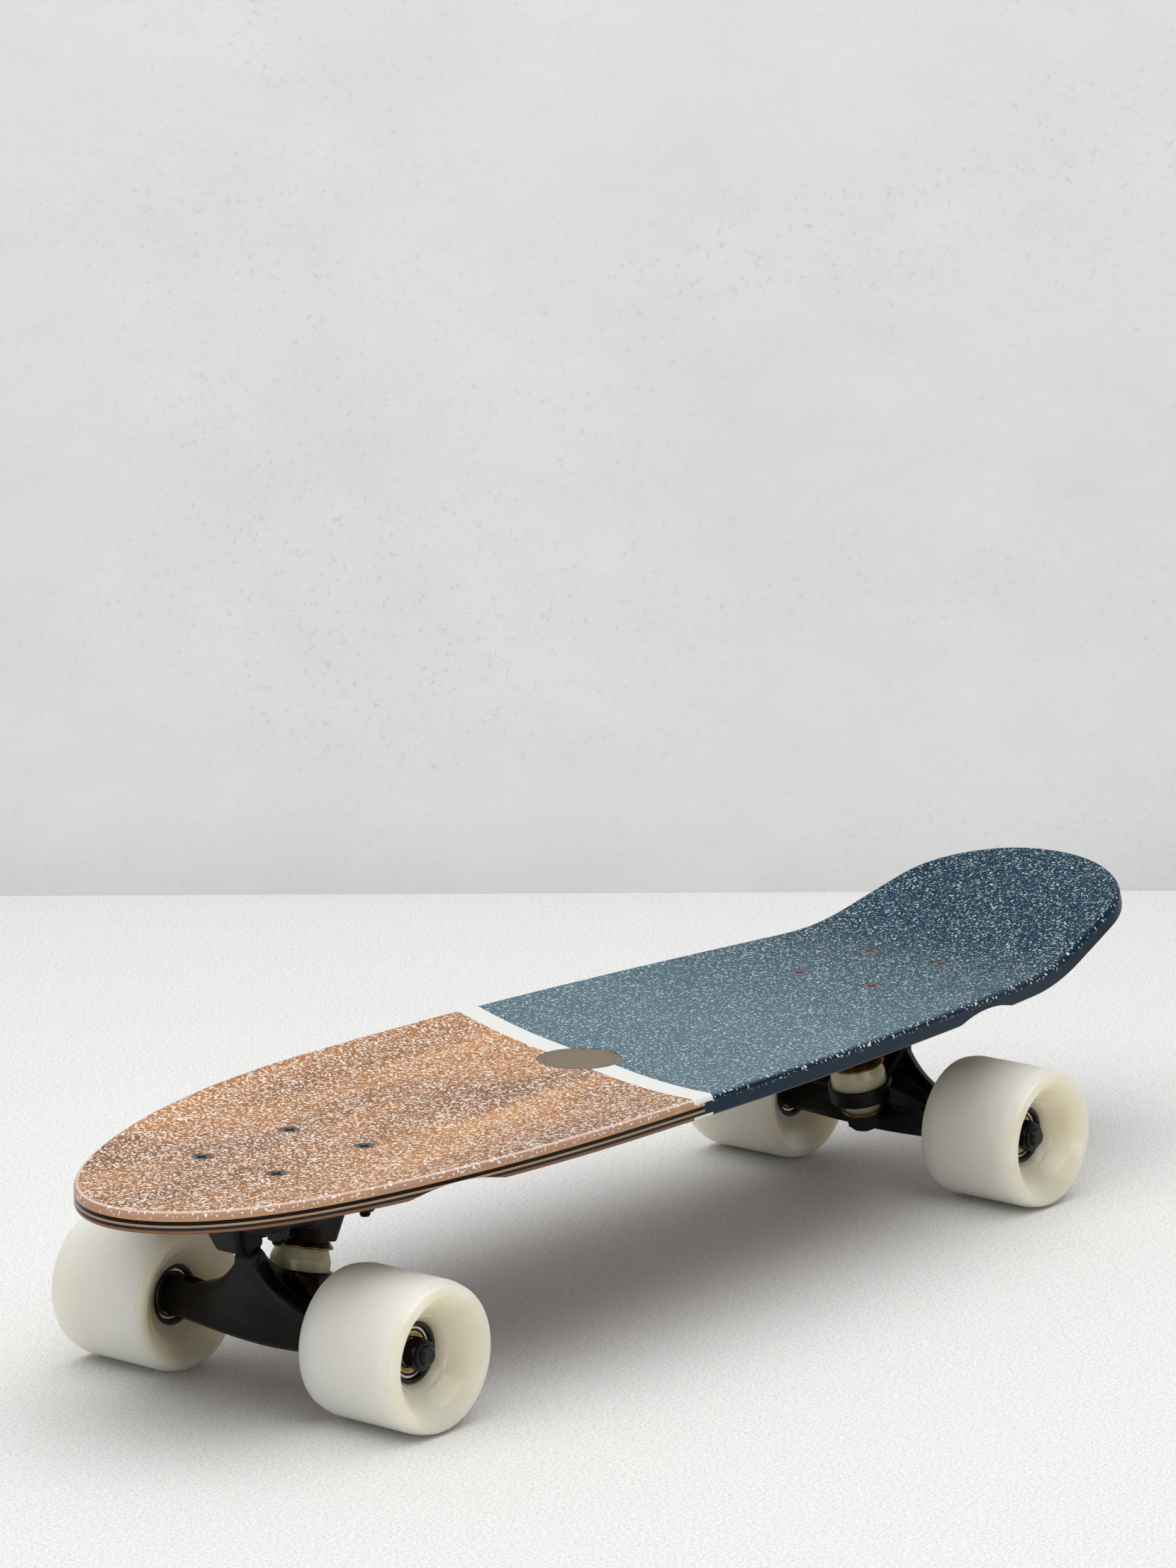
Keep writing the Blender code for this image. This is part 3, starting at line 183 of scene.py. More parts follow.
class Paint:
    """A material being made: its node tree and its shader."""

    def __init__(self, name, **uniform):
        self.material = bpy.data.materials.new(name)
        self.material.use_nodes = True
        self.tree = self.material.node_tree
        self.shader = self.tree.nodes["Principled BSDF"]
        self.set("Base Color", (0.5, 0.5, 0.5, 1.0))
        for key, value in uniform.items():
            self.set(key.replace("_", " "), value)

    def feed(self, socket, value):
        """Give a socket a value or another node's output."""
        if isinstance(value, Field):
            self.tree.links.new(value.socket, socket)
        else:
            socket.default_value = value

    def set(self, name, value):
        self.feed(self.shader.inputs[name], value)

    def node(self, kind, inputs, output=0, **settings):
        made = self.tree.nodes.new("ShaderNode" + kind)
        for key, value in settings.items():
            setattr(made, key, value)
        for key, value in inputs.items():
            self.feed(made.inputs[key], value)
        return Field(self, made.outputs[output])

    def noise(self, vector, scale, detail=2.0, roughness=0.5, distortion=0.0):
        """Noise over a vector; three scales stretch it."""
        if isinstance(scale, tuple):
            vector = self.node("VectorMath", {0: vector, 1: scale}, operation='MULTIPLY')
            scale = 1.0
        return self.node("TexNoise", {"Vector": vector, "Scale": scale, "Detail": detail,
                                      "Roughness": roughness, "Distortion": distortion}, "Fac")

    def ramp(self, share, stops, interpolation='LINEAR'):
        """Colours along a share from 0 to 1; stops are (place, red, green, blue)."""
        made = self.node("ValToRGB", {"Fac": share}, "Color")
        band = made.socket.node.color_ramp
        band.interpolation = interpolation
        while len(band.elements) < len(stops):
            band.elements.new(0.5)
        for element, (place, *colour) in zip(band.elements, stops):
            element.position = place
            element.color = srgb(*colour)
        return made

    def mix(self, share, first, second):
        """Blend two colours; one may be given as display values from 0 to 255."""
        first, second = (srgb(*end) if isinstance(end, tuple) else end for end in (first, second))
        return self.node("Mix", {0: share, 6: first, 7: second}, 2, data_type='RGBA')

    def place(self):
        """Position on the resting object."""
        return self.node("TexCoord", {}, "Object")

    def stored(self, name):
        return self.node("Attribute", {}, "Vector", attribute_name=name)

    def parts(self, vector):
        outputs = self.node("SeparateXYZ", {0: vector}).socket.node.outputs
        return [Field(self, output) for output in outputs]

    def finish(self, colour, roughness, height, strength, distance):
        """Set colour, roughness and relief, and give the material."""
        self.set("Base Color", colour)
        self.set("Roughness", roughness)
        self.set("Normal", self.node("Bump", {"Height": height, "Strength": strength,
                                              "Distance": distance}, "Normal"))
        return self.material


# Materials

def veneer(made, vector, colours, bands):
    """Long-grained wood, broad bands along the board with fine pores; returns its streaks too."""
    broad = made.noise(vector, (bands, 26.0, 40.0), 3.0, 0.55, 0.6)
    streak = made.noise(vector, (14.0, 420.0, 420.0), 4.0, 0.6)
    pore = made.noise(vector, (90.0, 2200.0, 2200.0))
    places = (0.30, 0.45, 0.56, 0.70)
    wood = made.ramp(broad * 0.72 + streak * 0.28, [(at, *tone) for at, tone in zip(places, colours)])
    dark = made.mix(0.55, wood, colours[0])
    return made.mix(pore.step(0.60, 0.72), wood, dark), streak


def ply_colours(made, flat, height):
    """The plies' own colours by height, with streaky grain in the pale ones."""
    stops = [(bottom / DECK_THICKNESS, *colour) for bottom, colour in PLIES]
    plies = made.ramp(height / DECK_THICKNESS, stops, 'CONSTANT')
    grain = made.noise(flat, (60.0, 60.0, 3000.0), 3.0, 0.6)
    tan_ply = (height > PLY_SLATE) * (height < PLY_TAN)
    pale = (height > PLY_BLACK).either(tan_ply)
    return made.mix(grain.step(0.45, 0.75) * 0.35 * pale, plies, (214, 176, 146))


def rolled_edge_and_highlight(made, flat, height):
    """Colours of the top veneer where it is rounded over, with a painted highlight band along the rounding.
    """
    edge_wood, _ = veneer(made, flat, ((120, 78, 62), (168, 112, 88), (190, 132, 104), (214, 160, 128)),
                          9.0)
    streaks = made.noise(flat, (25.0, 25.0, 3600.0))
    # Painted highlight: the pale stop at 0.78 stands in for light caught on the rounded edge.
    rolled_colours_and_highlight = made.ramp(height.step(PLY_ORANGE, DECK_THICKNESS), [
        (0.0, 160, 120, 94), (0.2, 188, 156, 134), (0.45, 170, 132, 108), (0.62, 184, 150, 128),
        (0.78, 232, 212, 198), (0.90, 206, 166, 136)])
    return made.mix(streaks.step(0.42, 0.62) * 0.30, rolled_colours_and_highlight, edge_wood)


def rear_paint(made, flat, along, height):
    """Dark teal, lighter towards the middle of the board as a painted sheen, and darker on the edge."""
    coat = made.mix(made.noise(flat, 9.0), (8, 36, 53), (18, 50, 68))
    # Painted sheen: the paint is lightened towards the middle of the board.
    painted_sheen = along.step(BOLT_SPAN + 0.06, BOLT_SPAN - 0.12) * 0.8
    coat = made.mix(painted_sheen, coat, (84, 110, 122))
    return made.mix(height.step(DECK_THICKNESS - 0.0004, DECK_THICKNESS - 0.0016), coat, (9, 36, 54))


def grit_cover(made, flat, height, rear, flat_top):
    """Share of the surface under grit: dense on the wood, sparse sparks on the paint and the edge."""
    patch = made.noise(flat, 90.0, 2.0, 0.6)
    speck = (made.noise(flat, 900.0, 1.2) + patch * 0.10).step(0.602, 0.640)
    dust = made.noise(flat, 1700.0, 0.0).step(0.60, 0.66)
    spark = made.noise(flat, 1000.0, 1.0).step(0.61, 0.66)
    speck = made.mix(rear, speck, spark)
    on_top = speck.either(dust * (0.6 - rear * 0.35)) * flat_top
    on_edge = made.noise(flat, 760.0, 0.0).step(0.665, 0.70) * height.step(0.0056, 0.0074)
    return on_top.either(on_edge)


def grit_colour(made, flat, rear, flat_top):
    tint = made.noise(flat, 900.0, 0.0)
    warm = made.ramp(tint, [(0.38, 200, 164, 124), (0.50, 222, 194, 162), (0.61, 250, 240, 226)])
    cool = made.ramp(tint, [(0.36, 92, 132, 150), (0.50, 140, 176, 190), (0.60, 228, 240, 242)])
    return made.mix(flat_top, (250, 248, 244), made.mix(rear, warm, cool))


def deck_material():
    """Veneer, plies, stripe, paint and clear grit, placed by the laminate's own coordinates."""
    made = Paint("deck_finish", Coat_Weight=0.03, Coat_Roughness=0.22)
    flat = made.stored("laminate")
    along, across, height = made.parts(flat)
    past = (FRONT_X - STRIPE_X) - along - across * STRIPE_SLANT
    skins = (height > TOP_SKIN).either(height < PLY_BROWN)
    stripe = (abs(past) < STRIPE_HALF) * skins
    rear = (past < -STRIPE_HALF).either((past < -EDGE_PAINT_STEP) * (1.0 - skins)) * (height > PAINT_LOW)
    top_ply = height > PLY_ORANGE
    flat_top = height.step(DECK_THICKNESS - 0.00045, DECK_THICKNESS - 0.0001)

    brown, streak = veneer(made, flat, ((82, 47, 28), (126, 74, 39), (164, 103, 48), (198, 138, 64)), 5.0)
    level = height.step(DECK_THICKNESS - 0.0003, DECK_THICKNESS - 0.00005)
    wood = made.mix(top_ply, ply_colours(made, flat, height),
                    made.mix(level, rolled_edge_and_highlight(made, flat, height), brown))
    wood = made.mix(height < UNDERSIDE, wood, made.mix(0.6, brown, (52, 44, 38)))
    colour = made.mix(rear, wood, rear_paint(made, flat, along, height))
    grit = grit_cover(made, flat, height, rear, flat_top) * (1.0 - stripe)
    # Painted shade on the kicked-up tail: less grit colour there, and less reflection, so it reads darker.
    tail = along.step(BOLT_SPAN - 0.02, BOLT_SPAN + 0.10) * rear
    colour = made.mix(grit * (0.84 - tail * 0.12), colour, grit_colour(made, flat, rear, flat_top))
    gloss = (1.0 - rear) * (top_ply * 0.06) + 0.10 + grit * 0.12
    made.set("Specular IOR Level", gloss * (1.0 - tail * 0.5))
    return made.finish(made.mix(stripe, colour, (224, 224, 219)),
                       flat_top * 0.30 + 0.26 + rear * 0.06 - grit * 0.12,
                       grit * 0.8 + streak * 0.15, 0.55, 0.00025)


def urethane(name, light, dark, tread=True):
    """Cast urethane, matt on the ground tread and glossy on its sides."""
    made = Paint(name, Subsurface_Weight=1.0, Subsurface_Scale=0.030, Subsurface_Radius=(1.0, 0.84, 0.62))
    radius, _, _ = made.parts(made.stored("lathe"))
    place = made.place()
    cloud = made.noise(place, 55.0, 3.0)
    grain = made.noise(place, 1500.0, 2.0, 0.6)
    ground = radius.step(WHEEL_RADIUS - 0.0014, WHEEL_RADIUS - 0.0003) if tread else 0.0
    tone = made.mix(cloud.step(0.35, 0.65), dark, light)
    tone = made.mix(ground * 0.8, tone, (226, 226, 220))
    scuff = grain.step(0.40, 0.70) * (ground * 0.22)
    return made.finish(made.mix(scuff, tone, (194, 193, 186)), ground * 0.34 + 0.24,
                       grain * (ground * 0.9 + 0.06), 0.45, 0.00020)


def painted_metal(name, colour, roughness, grain, metallic=0.0, worn=None, gloss=0.3, seam=None, top=None):
    """Painted or plated metal: an orange-peel skin and a little dust.

    worn is the colour of rubbed corners, seam the height of a parting line, and top the colour above
    the deck's underside.
    """
    made = Paint(name, Metallic=metallic, Specular_IOR_Level=gloss)
    place = made.place()
    _, across, height = made.parts(place)
    skin = made.noise(place, 900.0, 2.0, 0.55)
    cloud = made.noise(place, 60.0, 3.0, 0.6)
    dusty = made.mix(0.03, colour, (150, 145, 140))
    tone = made.mix(cloud.step(0.45, 0.75), colour, dusty)
    if top:
        low = DECK_TOP - DECK_THICKNESS
        tone = made.mix(height.step(low - 0.0011, low + 0.0009), tone, top)
    if worn:
        corner = made.node("NewGeometry", {}, "Pointiness")
        rubbed = corner.step(0.53, 0.60) * skin.step(0.35, 0.6)
        tone = made.mix(rubbed * 0.5, tone, worn)
    if seam:
        groove = abs(height - seam).step(0.00050, 0.00015) * abs(across).step(0.040, 0.034)
        skin = skin - groove * 9.0
    return made.finish(tone, cloud * 0.14 + (roughness - 0.06), skin, grain, 0.00008)


def bare_metal(name, colour, shade, roughness, rings):
    """Plated or bare metal turned on a lathe, with fine rings and stains."""
    made = Paint(name, Metallic=1.0)
    place = made.place()
    stain = made.noise(place, 260.0, 3.0, 0.6)
    scratch = made.noise(place, 2600.0, 1.0)
    radius, _, _ = made.parts(made.stored("lathe"))
    tone = made.mix(stain.step(0.38, 0.68), colour, shade)
    return made.finish(tone, stain * 0.16 + (roughness - 0.05),
                       (radius * rings).sine() * 0.5 + scratch * 0.5, 0.15, 0.00005)


def badge_material():
    """Taupe bronze disc: a ring of knurling near the rim and a softly blasted middle."""
    made = Paint("badge_bronze", Metallic=0.55)
    radius, _, angle = made.parts(made.stored("lathe"))
    blast = made.noise(made.place(), 1500.0, 3.0, 0.65)
    tone = made.mix(blast.step(0.35, 0.65), (112, 98, 78), (138, 123, 101))
    teeth = (angle * 150.0).sine()
    knurl = teeth.step(-0.1, 0.6) * (radius.step(0.0146, 0.0149) * radius.step(0.0164, 0.0161))
    return made.finish(made.mix(knurl * 0.55, tone, (74, 64, 54)), blast * 0.2 + 0.42,
                       blast + (radius * 9000.0).sine() * 0.2 + knurl * -1.2, 0.35, 0.00012)


def floor_material():
    """Pale sandy floor with dark specks."""
    made = Paint("studio_floor")
    place = made.place()
    sand = made.noise(place, 620.0, 4.0, 0.7)
    speck = made.noise(place, 950.0, 1.5).step(0.58, 0.68)
    cloud = made.noise(place, 4.5, 4.0, 0.6)
    pale = made.mix(sand.step(0.36, 0.66), (222, 222, 220), (250, 250, 249))
    pale = made.mix(speck * 0.55, pale, (158, 156, 150))
    return made.finish(made.mix(cloud * 0.20, pale, (226, 226, 224)), 0.75, sand, 0.35, 0.0005)


def wall_material():
    """Pale grey plaster backdrop, pitted in patches, with painted shade at its foot."""
    made = Paint("studio_wall")
    place = made.place()
    trowel = made.noise(place, (9.0, 9.0, 14.0), 7.0, 0.68, 0.2)
    grain = made.noise(place, 210.0, 5.0, 0.8)
    patch = made.noise(place, (3.0, 3.0, 7.0))
    pale = made.mix(trowel.step(0.30, 0.72), (224, 224, 224), (232, 232, 233))
    pits = grain.step(0.56, 0.68) * (patch.step(0.48, 0.68) * 0.30 + 0.12)
    pitted = made.mix(pits, pale, (172, 171, 167))
    # Painted shade: the lowest 5 cm of the wall are darkened where it meets the floor.
    foot = made.parts(place)[2].step(0.05, 0.0)
    return made.finish(made.mix(foot * 0.22, pitted, (190, 189, 186)), 0.85,
                       trowel + grain * 0.5, 0.22, 0.0016)


def make_finishes():
    """Slot and material of each finish."""
    black = (16, 16, 18)
    return {
        "deck": ("deck_wood", deck_material()),
        "badge": ("badge_metal", badge_material()),
        "cast": ("black_cast", painted_metal("black_cast_paint", (10, 10, 11), 0.34, 0.30,
                                             worn=(36, 36, 39), gloss=0.16, seam=0.0325)),
        "steel": ("black_steel", painted_metal("black_oxide_steel", (20, 20, 22), 0.28, 0.08, 0.35)),
        "bolt": ("black_steel", painted_metal("bolt_steel", black, 0.32, 0.1, 0.35, top=(62, 68, 76))),
        "rear_bolt": ("black_steel", painted_metal("worn_bolt_steel", black, 0.40, 0.2, 0.35,
                                                   top=(112, 98, 95))),
        "bronze": ("bronze", bare_metal("cup_bronze", (150, 116, 70), (96, 72, 44), 0.30, 5000.0)),
        "cream": ("cream_urethane", urethane("bushing_urethane", (208, 196, 158), (194, 181, 142), False)),
        "ivory": ("ivory_urethane", urethane("wheel_urethane", (232, 225, 206), (222, 213, 190))),
        "nylon": ("black_nylon", painted_metal("core_nylon", (24, 24, 25), 0.42, 0.25)),
        "race": ("bearing_steel", bare_metal("race_steel", (205, 205, 202), (170, 170, 168), 0.22, 6000.0)),
        "shield": ("shield_metal", bare_metal("shield_brass", (190, 160, 112), (150, 122, 80), 0.34, 9000.0)),
        "seal": ("black_nylon", painted_metal("seal_rubber", (34, 30, 28), 0.5, 0.3)),
    }


# Mesh helpers

def show(name, data):
    """A new object in the scene."""
    made = bpy.data.objects.new(name, data)
    bpy.context.collection.objects.link(made)
    return made


def finish_mesh(shape, name="piece"):
    bmesh.ops.remove_doubles(shape, verts=shape.verts, dist=1e-7)
    bmesh.ops.recalc_face_normals(shape, faces=shape.faces)
    mesh = bpy.data.meshes.new(name)
    shape.to_mesh(mesh)
    shape.free()
    return show(name, mesh)


def store(item, name, vector_at):
    """Store a vector at each point for the shaders."""
    values = [value for vertex in item.data.vertices for value in vector_at(vertex.co)]
    attribute = item.data.attributes.new(name, 'FLOAT_VECTOR', 'POINT')
    attribute.data.foreach_set("vector", values)
    return item


def bridge(shape, low, high):
    """Faces between two equal loops of vertices."""
    for i in range(len(low)):
        j = (i + 1) % len(low)
        shape.faces.new((low[i], low[j], high[j], high[i]))


def skin(rings, closed=False):
    """Join equal rings of points with faces, and cap the ends unless they meet."""
    shape = bmesh.new()
    loops = [[shape.verts.new(point) for point in ring] for ring in rings]
    for low, high in zip(loops, loops[1:] + loops[:1] if closed else loops[1:]):
        bridge(shape, low, high)
    if not closed:
        shape.faces.new(loops[0])
        shape.faces.new(loops[-1])
    return finish_mesh(shape)


def soften(profile, radius, steps=4, closed=False):
    """Round the corners of a profile; a third value of a point is its own radius."""
    count = len(profile)
    points = []
    for i, corner in enumerate(profile):
        here = Vector(corner[:2])
        size = corner[2] if len(corner) > 2 else radius
        if size <= 0 or (not closed and i in (0, count - 1)):
            points.append(tuple(here))
            continue
        before = Vector(profile[i - 1][:2]) - here
        after = Vector(profile[(i + 1) % count][:2]) - here
        half = before.angle(after) / 2
        back = size / max(math.tan(half), 0.05)
        back = min(back, 0.48 * before.length, 0.48 * after.length)
        start = here + before.normalized() * back
        end = here + after.normalized() * back
        for k in range(steps + 1):
            t = k / steps
            points.append(tuple(start * (1 - t) ** 2 + here * (2 * t * (1 - t)) + end * t ** 2))
    return points


def lathe(profile, sides, closed=False):
    """Turn (radius, height) points about Z, and store radius, height and angle for the shaders."""
    turns = [2 * math.pi * i / sides for i in range(sides)]
    rings = [[(radius * math.cos(a), radius * math.sin(a), height) for a in turns]
             for radius, height in profile]
    return store(skin(rings, closed), "lathe",
                 lambda at: (math.hypot(at.x, at.y), at.z, math.atan2(at.y, at.x)))


def hollow(profile, sides, steps=5, radius=0.0):
    """Turn a profile that closes on itself, its corners rounded."""
    return lathe(soften(profile, radius, steps, closed=True), sides, closed=True)


def move(item, matrix):
    item.data.transform(matrix)
    return item


def apply_modifiers(item):
    graph = bpy.context.evaluated_depsgraph_get()
    result = bpy.data.meshes.new_from_object(item.evaluated_get(graph))
    item.modifiers.clear()
    item.data = result
    return item


def combine(target, tool, operation):
    modifier = target.modifiers.new("combine", 'BOOLEAN')
    modifier.operation = operation
    modifier.object = tool
    apply_modifiers(target)
    bpy.data.objects.remove(tool, do_unlink=True)
    return target


def cut(target, tool):
    return combine(target, tool, 'DIFFERENCE')


def join(target, tool):
    return combine(target, tool, 'UNION')


def gather(items):
    """One object out of several that don't touch."""
    shape = bmesh.new()
    for item in items:
        shape.from_mesh(item.data)
        bpy.data.objects.remove(item, do_unlink=True)
    return finish_mesh(shape)


def between(value, low=0.0, high=1.0):
    return max(low, min(high, value))


def lerp(start, end, share):
    return start + (end - start) * share


def dress(item, name, body, finish, replaced=()):
    """Give a finished piece its name, shading, material, body and the nodes it stands for."""
    slot, paint = finish
    item.name = name
    item.data.name = name
    item.data.materials.clear()
    item.data.materials.append(paint)
    item.data.shade_smooth()
    item.data.set_sharp_from_angle(angle=SHARP_ANGLE)
    weighted = item.modifiers.new("weighted", 'WEIGHTED_NORMAL')
    weighted.keep_sharp = True
    if isinstance(body, str):
        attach(item, body)
    if replaced:
        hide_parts(*replaced)
    return item


# Deck

def deck_half_width(s):
    """Half the deck's width at s, the distance along it behind the front bolt pattern."""
    run = TAIL_LENGTH + BOLT_SPAN - TAPER_START
    taper = between((s - TAPER_START) / run)
    width = (DECK_WIDTH - (DECK_WIDTH - TAIL_WIDTH) * taper ** TAPER_POWER) / 2
    nose = between((NOSE_CURVE - NOSE_LENGTH - s) / NOSE_CURVE)
    tail = between((s - (BOLT_SPAN + TAIL_LENGTH - TAIL_CURVE)) / TAIL_CURVE)
    return width * math.sqrt(1 - nose ** 2) * (1 - tail ** TAIL_POWER) ** (1 / TAIL_POWER)


def deck_lift(s, y):
    edge = lerp(NOSE_CONCAVE, REAR_CONCAVE, between(s / BOLT_SPAN))
    reach = max(0.0, (abs(y) - FLAT_STRIP / 2) / (DECK_WIDTH / 2 - FLAT_STRIP / 2))
    return edge * reach ** 2


def bend(s, y, height):
    """Place a point of the flat laminate, with the kicktail bent up."""
    level = height + deck_lift(s, y)
    past = s - (BOLT_SPAN + KICK_START)
    angle = between(past / KICK_RADIUS, 0.0, KICK_ANGLE)
    straight = max(0.0, past - KICK_RADIUS * KICK_ANGLE)
    reach = KICK_RADIUS - level
    back = min(s, BOLT_SPAN + KICK_START) + reach * math.sin(angle) + straight * math.cos(angle)
    up = KICK_RADIUS - reach * math.cos(angle) + straight * math.sin(angle)
    return Vector((FRONT_X - back, y, DECK_TOP + up))


def unbend(point):
    """The flat laminate's coordinates of a point: along, across and height above its underside."""
    back = FRONT_X - point.x - (BOLT_SPAN + KICK_START)
    up = point.z - DECK_TOP
    if back <= 0:
        s, level = back, up
    else:
        angle = math.atan2(back, KICK_RADIUS - up)
        s = KICK_RADIUS * angle
        level = KICK_RADIUS - math.hypot(back, KICK_RADIUS - up)
        if angle > KICK_ANGLE:
            back -= KICK_RADIUS * math.sin(KICK_ANGLE)
            up -= KICK_RADIUS * (1 - math.cos(KICK_ANGLE))
            s = KICK_RADIUS * KICK_ANGLE + back * math.cos(KICK_ANGLE) + up * math.sin(KICK_ANGLE)
            level = up * math.cos(KICK_ANGLE) - back * math.sin(KICK_ANGLE)
    s += BOLT_SPAN + KICK_START
    return s, point.y, level - deck_lift(s, point.y) + DECK_THICKNESS


def deck_edge(inset):
    """Left side of the deck's outline, drawn in by a distance, from nose to tail."""
    nose, tail = -NOSE_LENGTH, BOLT_SPAN + TAIL_LENGTH

    def station(i):
        return (tail + nose) / 2 - (tail - nose) / 2 * math.cos(math.pi * i / DECK_STATIONS)

    points = [(nose + inset, 0.0)]
    for i in range(1, DECK_STATIONS):
        s = station(i)
        run = station(i + 0.25) - station(i - 0.25)
        rise = deck_half_width(station(i + 0.25)) - deck_half_width(station(i - 0.25))
        length = math.hypot(run, rise)
        points.append((s + inset * rise / length, deck_half_width(s) - inset * run / length))
    return points + [(tail - inset, 0.0)]


def deck_profile():
    """Inset and height of the edge, from the underside up over the rounded top."""
    points = []
    for i in range(4):
        angle = math.pi / 2 * i / 3
        points.append((BOTTOM_EDGE_ROUND * (1 - math.sin(angle)),
                       BOTTOM_EDGE_ROUND * (1 - math.cos(angle)) - DECK_THICKNESS))
    for i in range(11):
        angle = math.pi / 2 * i / 10
        points.append((TOP_EDGE_ROUND * (1 - math.cos(angle)), -TOP_EDGE_ROUND * (1 - math.sin(angle))))
    return points


def deck_blank():
    """The deck's skin: rings up the edge, and rows of faces over the underside and the top."""
    shape = bmesh.new()
    profile = deck_profile()
    rings = []
    for inset, height in profile:
        left = deck_edge(inset)
        right = [(s, -y) for s, y in reversed(left[1:-1])]
        rings.append([shape.verts.new(bend(s, y, height)) for s, y in left + right])
    for low, high in zip(rings, rings[1:]):
        bridge(shape, low, high)
    for ring, (inset, height) in ((rings[0], profile[0]), (rings[-1], profile[-1])):
        edge = deck_edge(inset)
        rows = []
        for i in range(1, DECK_STATIONS):
            s, half = edge[i]
            inner = [half * math.cos(math.pi * k / DECK_COLUMNS) for k in range(1, DECK_COLUMNS)]
            across = [shape.verts.new(bend(s, y, height)) for y in inner]
            rows.append([ring[i]] + across + [ring[-i]])
        for front, back in zip(rows, rows[1:]):
            for k in range(len(front) - 1):
                shape.faces.new((front[k], front[k + 1], back[k + 1], back[k]))
        for tip, row in ((ring[0], rows[0]), (ring[DECK_STATIONS], rows[-1])):
            for k in range(len(row) - 1):
                shape.faces.new((tip, row[k], row[k + 1]))
    return finish_mesh(shape)


def well_cutter(side, s):
    """Roller that presses one wheel well into the underside."""
    inner = bend(s, WELL_INNER, -DECK_THICKNESS)
    outer = bend(s, deck_half_width(s), -DECK_THICKNESS) + Vector((0.0, 0.0, WELL_DEPTH))
    slope = math.atan2(outer.z - inner.z, outer.y - inner.y)
    length = DECK_WIDTH / 2
    roller = lathe([(WELL_RADIUS, 0.0), (WELL_RADIUS, length)], 240)
    move(roller, Matrix.Rotation(slope - math.pi / 2, 4, 'X'))
    drop = WELL_RADIUS / math.cos(slope)
    move(roller, Matrix.Translation((inner.x, inner.y, inner.z - drop)))
    if side < 0:
        move(roller, Matrix.Rotation(math.pi, 4, 'Z') @ Matrix.Translation((-2 * inner.x, 0, 0)))
    return roller


BOLT_DIAMETER = 0.0048
BOLT_HEAD_DIAMETER = 0.0087
BOLT_HEAD_HEIGHT = 0.0027
BOLT_LENGTH = 0.0299
BOLT_NUT_FLATS = 0.0089
BOLT_NUT_HEIGHT = 0.0055
BOLT_NUT_COLLAR = 0.0015
RECESS_HALF = 0.0007
RECESS_DEPTH = 0.0020
BADGE_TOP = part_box("badge")[1][2]
BADGE_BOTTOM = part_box("badge")[0][2]
BADGE_RADIUS = 0.0185


def make_deck(finish):
    """The laminate, with the bolts' sinks, the badge's recess and the four wheel wells."""
    deck = deck_blank()
    tools = []
    top = DECK_TOP - GAP / 2
    above = DECK_TOP + CUT_PAST
    shank = BOLT_DIAMETER / 2 + GAP
    head = BOLT_HEAD_DIAMETER / 2 + GAP / 2
    for end in ("front", "rear"):
        for number in range(1, 5):
            centre = middle(f"{end}_bolt_{number}")
            sink = lathe([(shank, DECK_TOP - DECK_THICKNESS - CUT_PAST), (shank, top - BOLT_HEAD_HEIGHT),
                          (head, top - GAP), (head, above)], 32)
            tools.append(move(sink, Matrix.Translation((centre.x, centre.y, 0.0))))
    rim = BADGE_RADIUS + GAP / 2
    recess = lathe([(rim, BADGE_BOTTOM - GAP), (rim, above)], 96)
    tools.append(move(recess, Matrix.Translation((middle("badge").x, 0.0, 0.0))))
    cut(deck, gather(tools))
    for s in (WELL_INBOARD, BOLT_SPAN - WELL_INBOARD):
        cut(deck, gather([well_cutter(side, s) for side in (1, -1)]))
    dress(store(deck, "laminate", unbend), "deck_laminate", "deck", finish, ["deck"])


# Trucks: the kingpin stack, pivot, hanger and axle, in each truck's own frame

RISER_THICKNESS = 0.0060
BASE_THICKNESS = 0.0059
BASE_BOTTOM = DECK_TOP - DECK_THICKNESS - RISER_THICKNESS - BASE_THICKNESS - 2 * GAP
KINGPIN_OUT = -0.0110
KINGPIN_HEIGHT = 0.0579
KINGPIN_TILT = math.radians(13.5)
KINGPIN_RADIUS = 0.00475
KINGPIN_BORE = KINGPIN_RADIUS + GAP
KINGPIN_HEAD = -0.0204
KINGPIN_END = 0.0344
KINGPIN_HEX = 0.0143
KINGPIN_NUT_HEIGHT = 0.0063
CUP_THICKNESS = 0.0012
CUP_RIM = 0.0010
UPPER_CUP_RADIUS = 0.01305
UPPER_CUP_LIP = 0.0018
UPPER_CUP_FLARE = 0.0020
LOWER_CUP_RADIUS = 0.0099
LOWER_CUP_LIP = 0.0008
LOWER_CUP_FLARE = 0.0010
LOWER_CUP_AT = 0.0235
YOKE_TOP = 0.0115
YOKE_BOTTOM = 0.0173
YOKE_MIDDLE = 0.0134
YOKE_RADIUS = 0.01475
YOKE_RIM = 0.0021
YOKE_HOLE = 0.0085
SKIRT_END = 0.0260
SKIRT_RETREAT = 0.0060
CAVITY_RADIUS = 0.0134
CAVITY_END = 0.0265
UPPER_BUSHING_TOP = 0.01035
UPPER_BUSHING_WIDE = 0.01275
LOWER_BUSHING_WIDE = 0.00925
LOWER_BUSHING_END = 0.0083
PIVOT_OUT = 0.0260
PIVOT_HEIGHT = 0.0726
PIVOT_CUP_RADIUS = 0.0058
PIVOT_CUP_BORE = 0.0042
PIVOT_CUP_LOW = -0.0040
PIVOT_CUP_HIGH = 0.0050
PIVOT_STEM_LENGTH = 0.0150
AXLE_OUT = 0.0107
AXLE_HEIGHT = 0.032
AXLE_RADIUS = 0.004
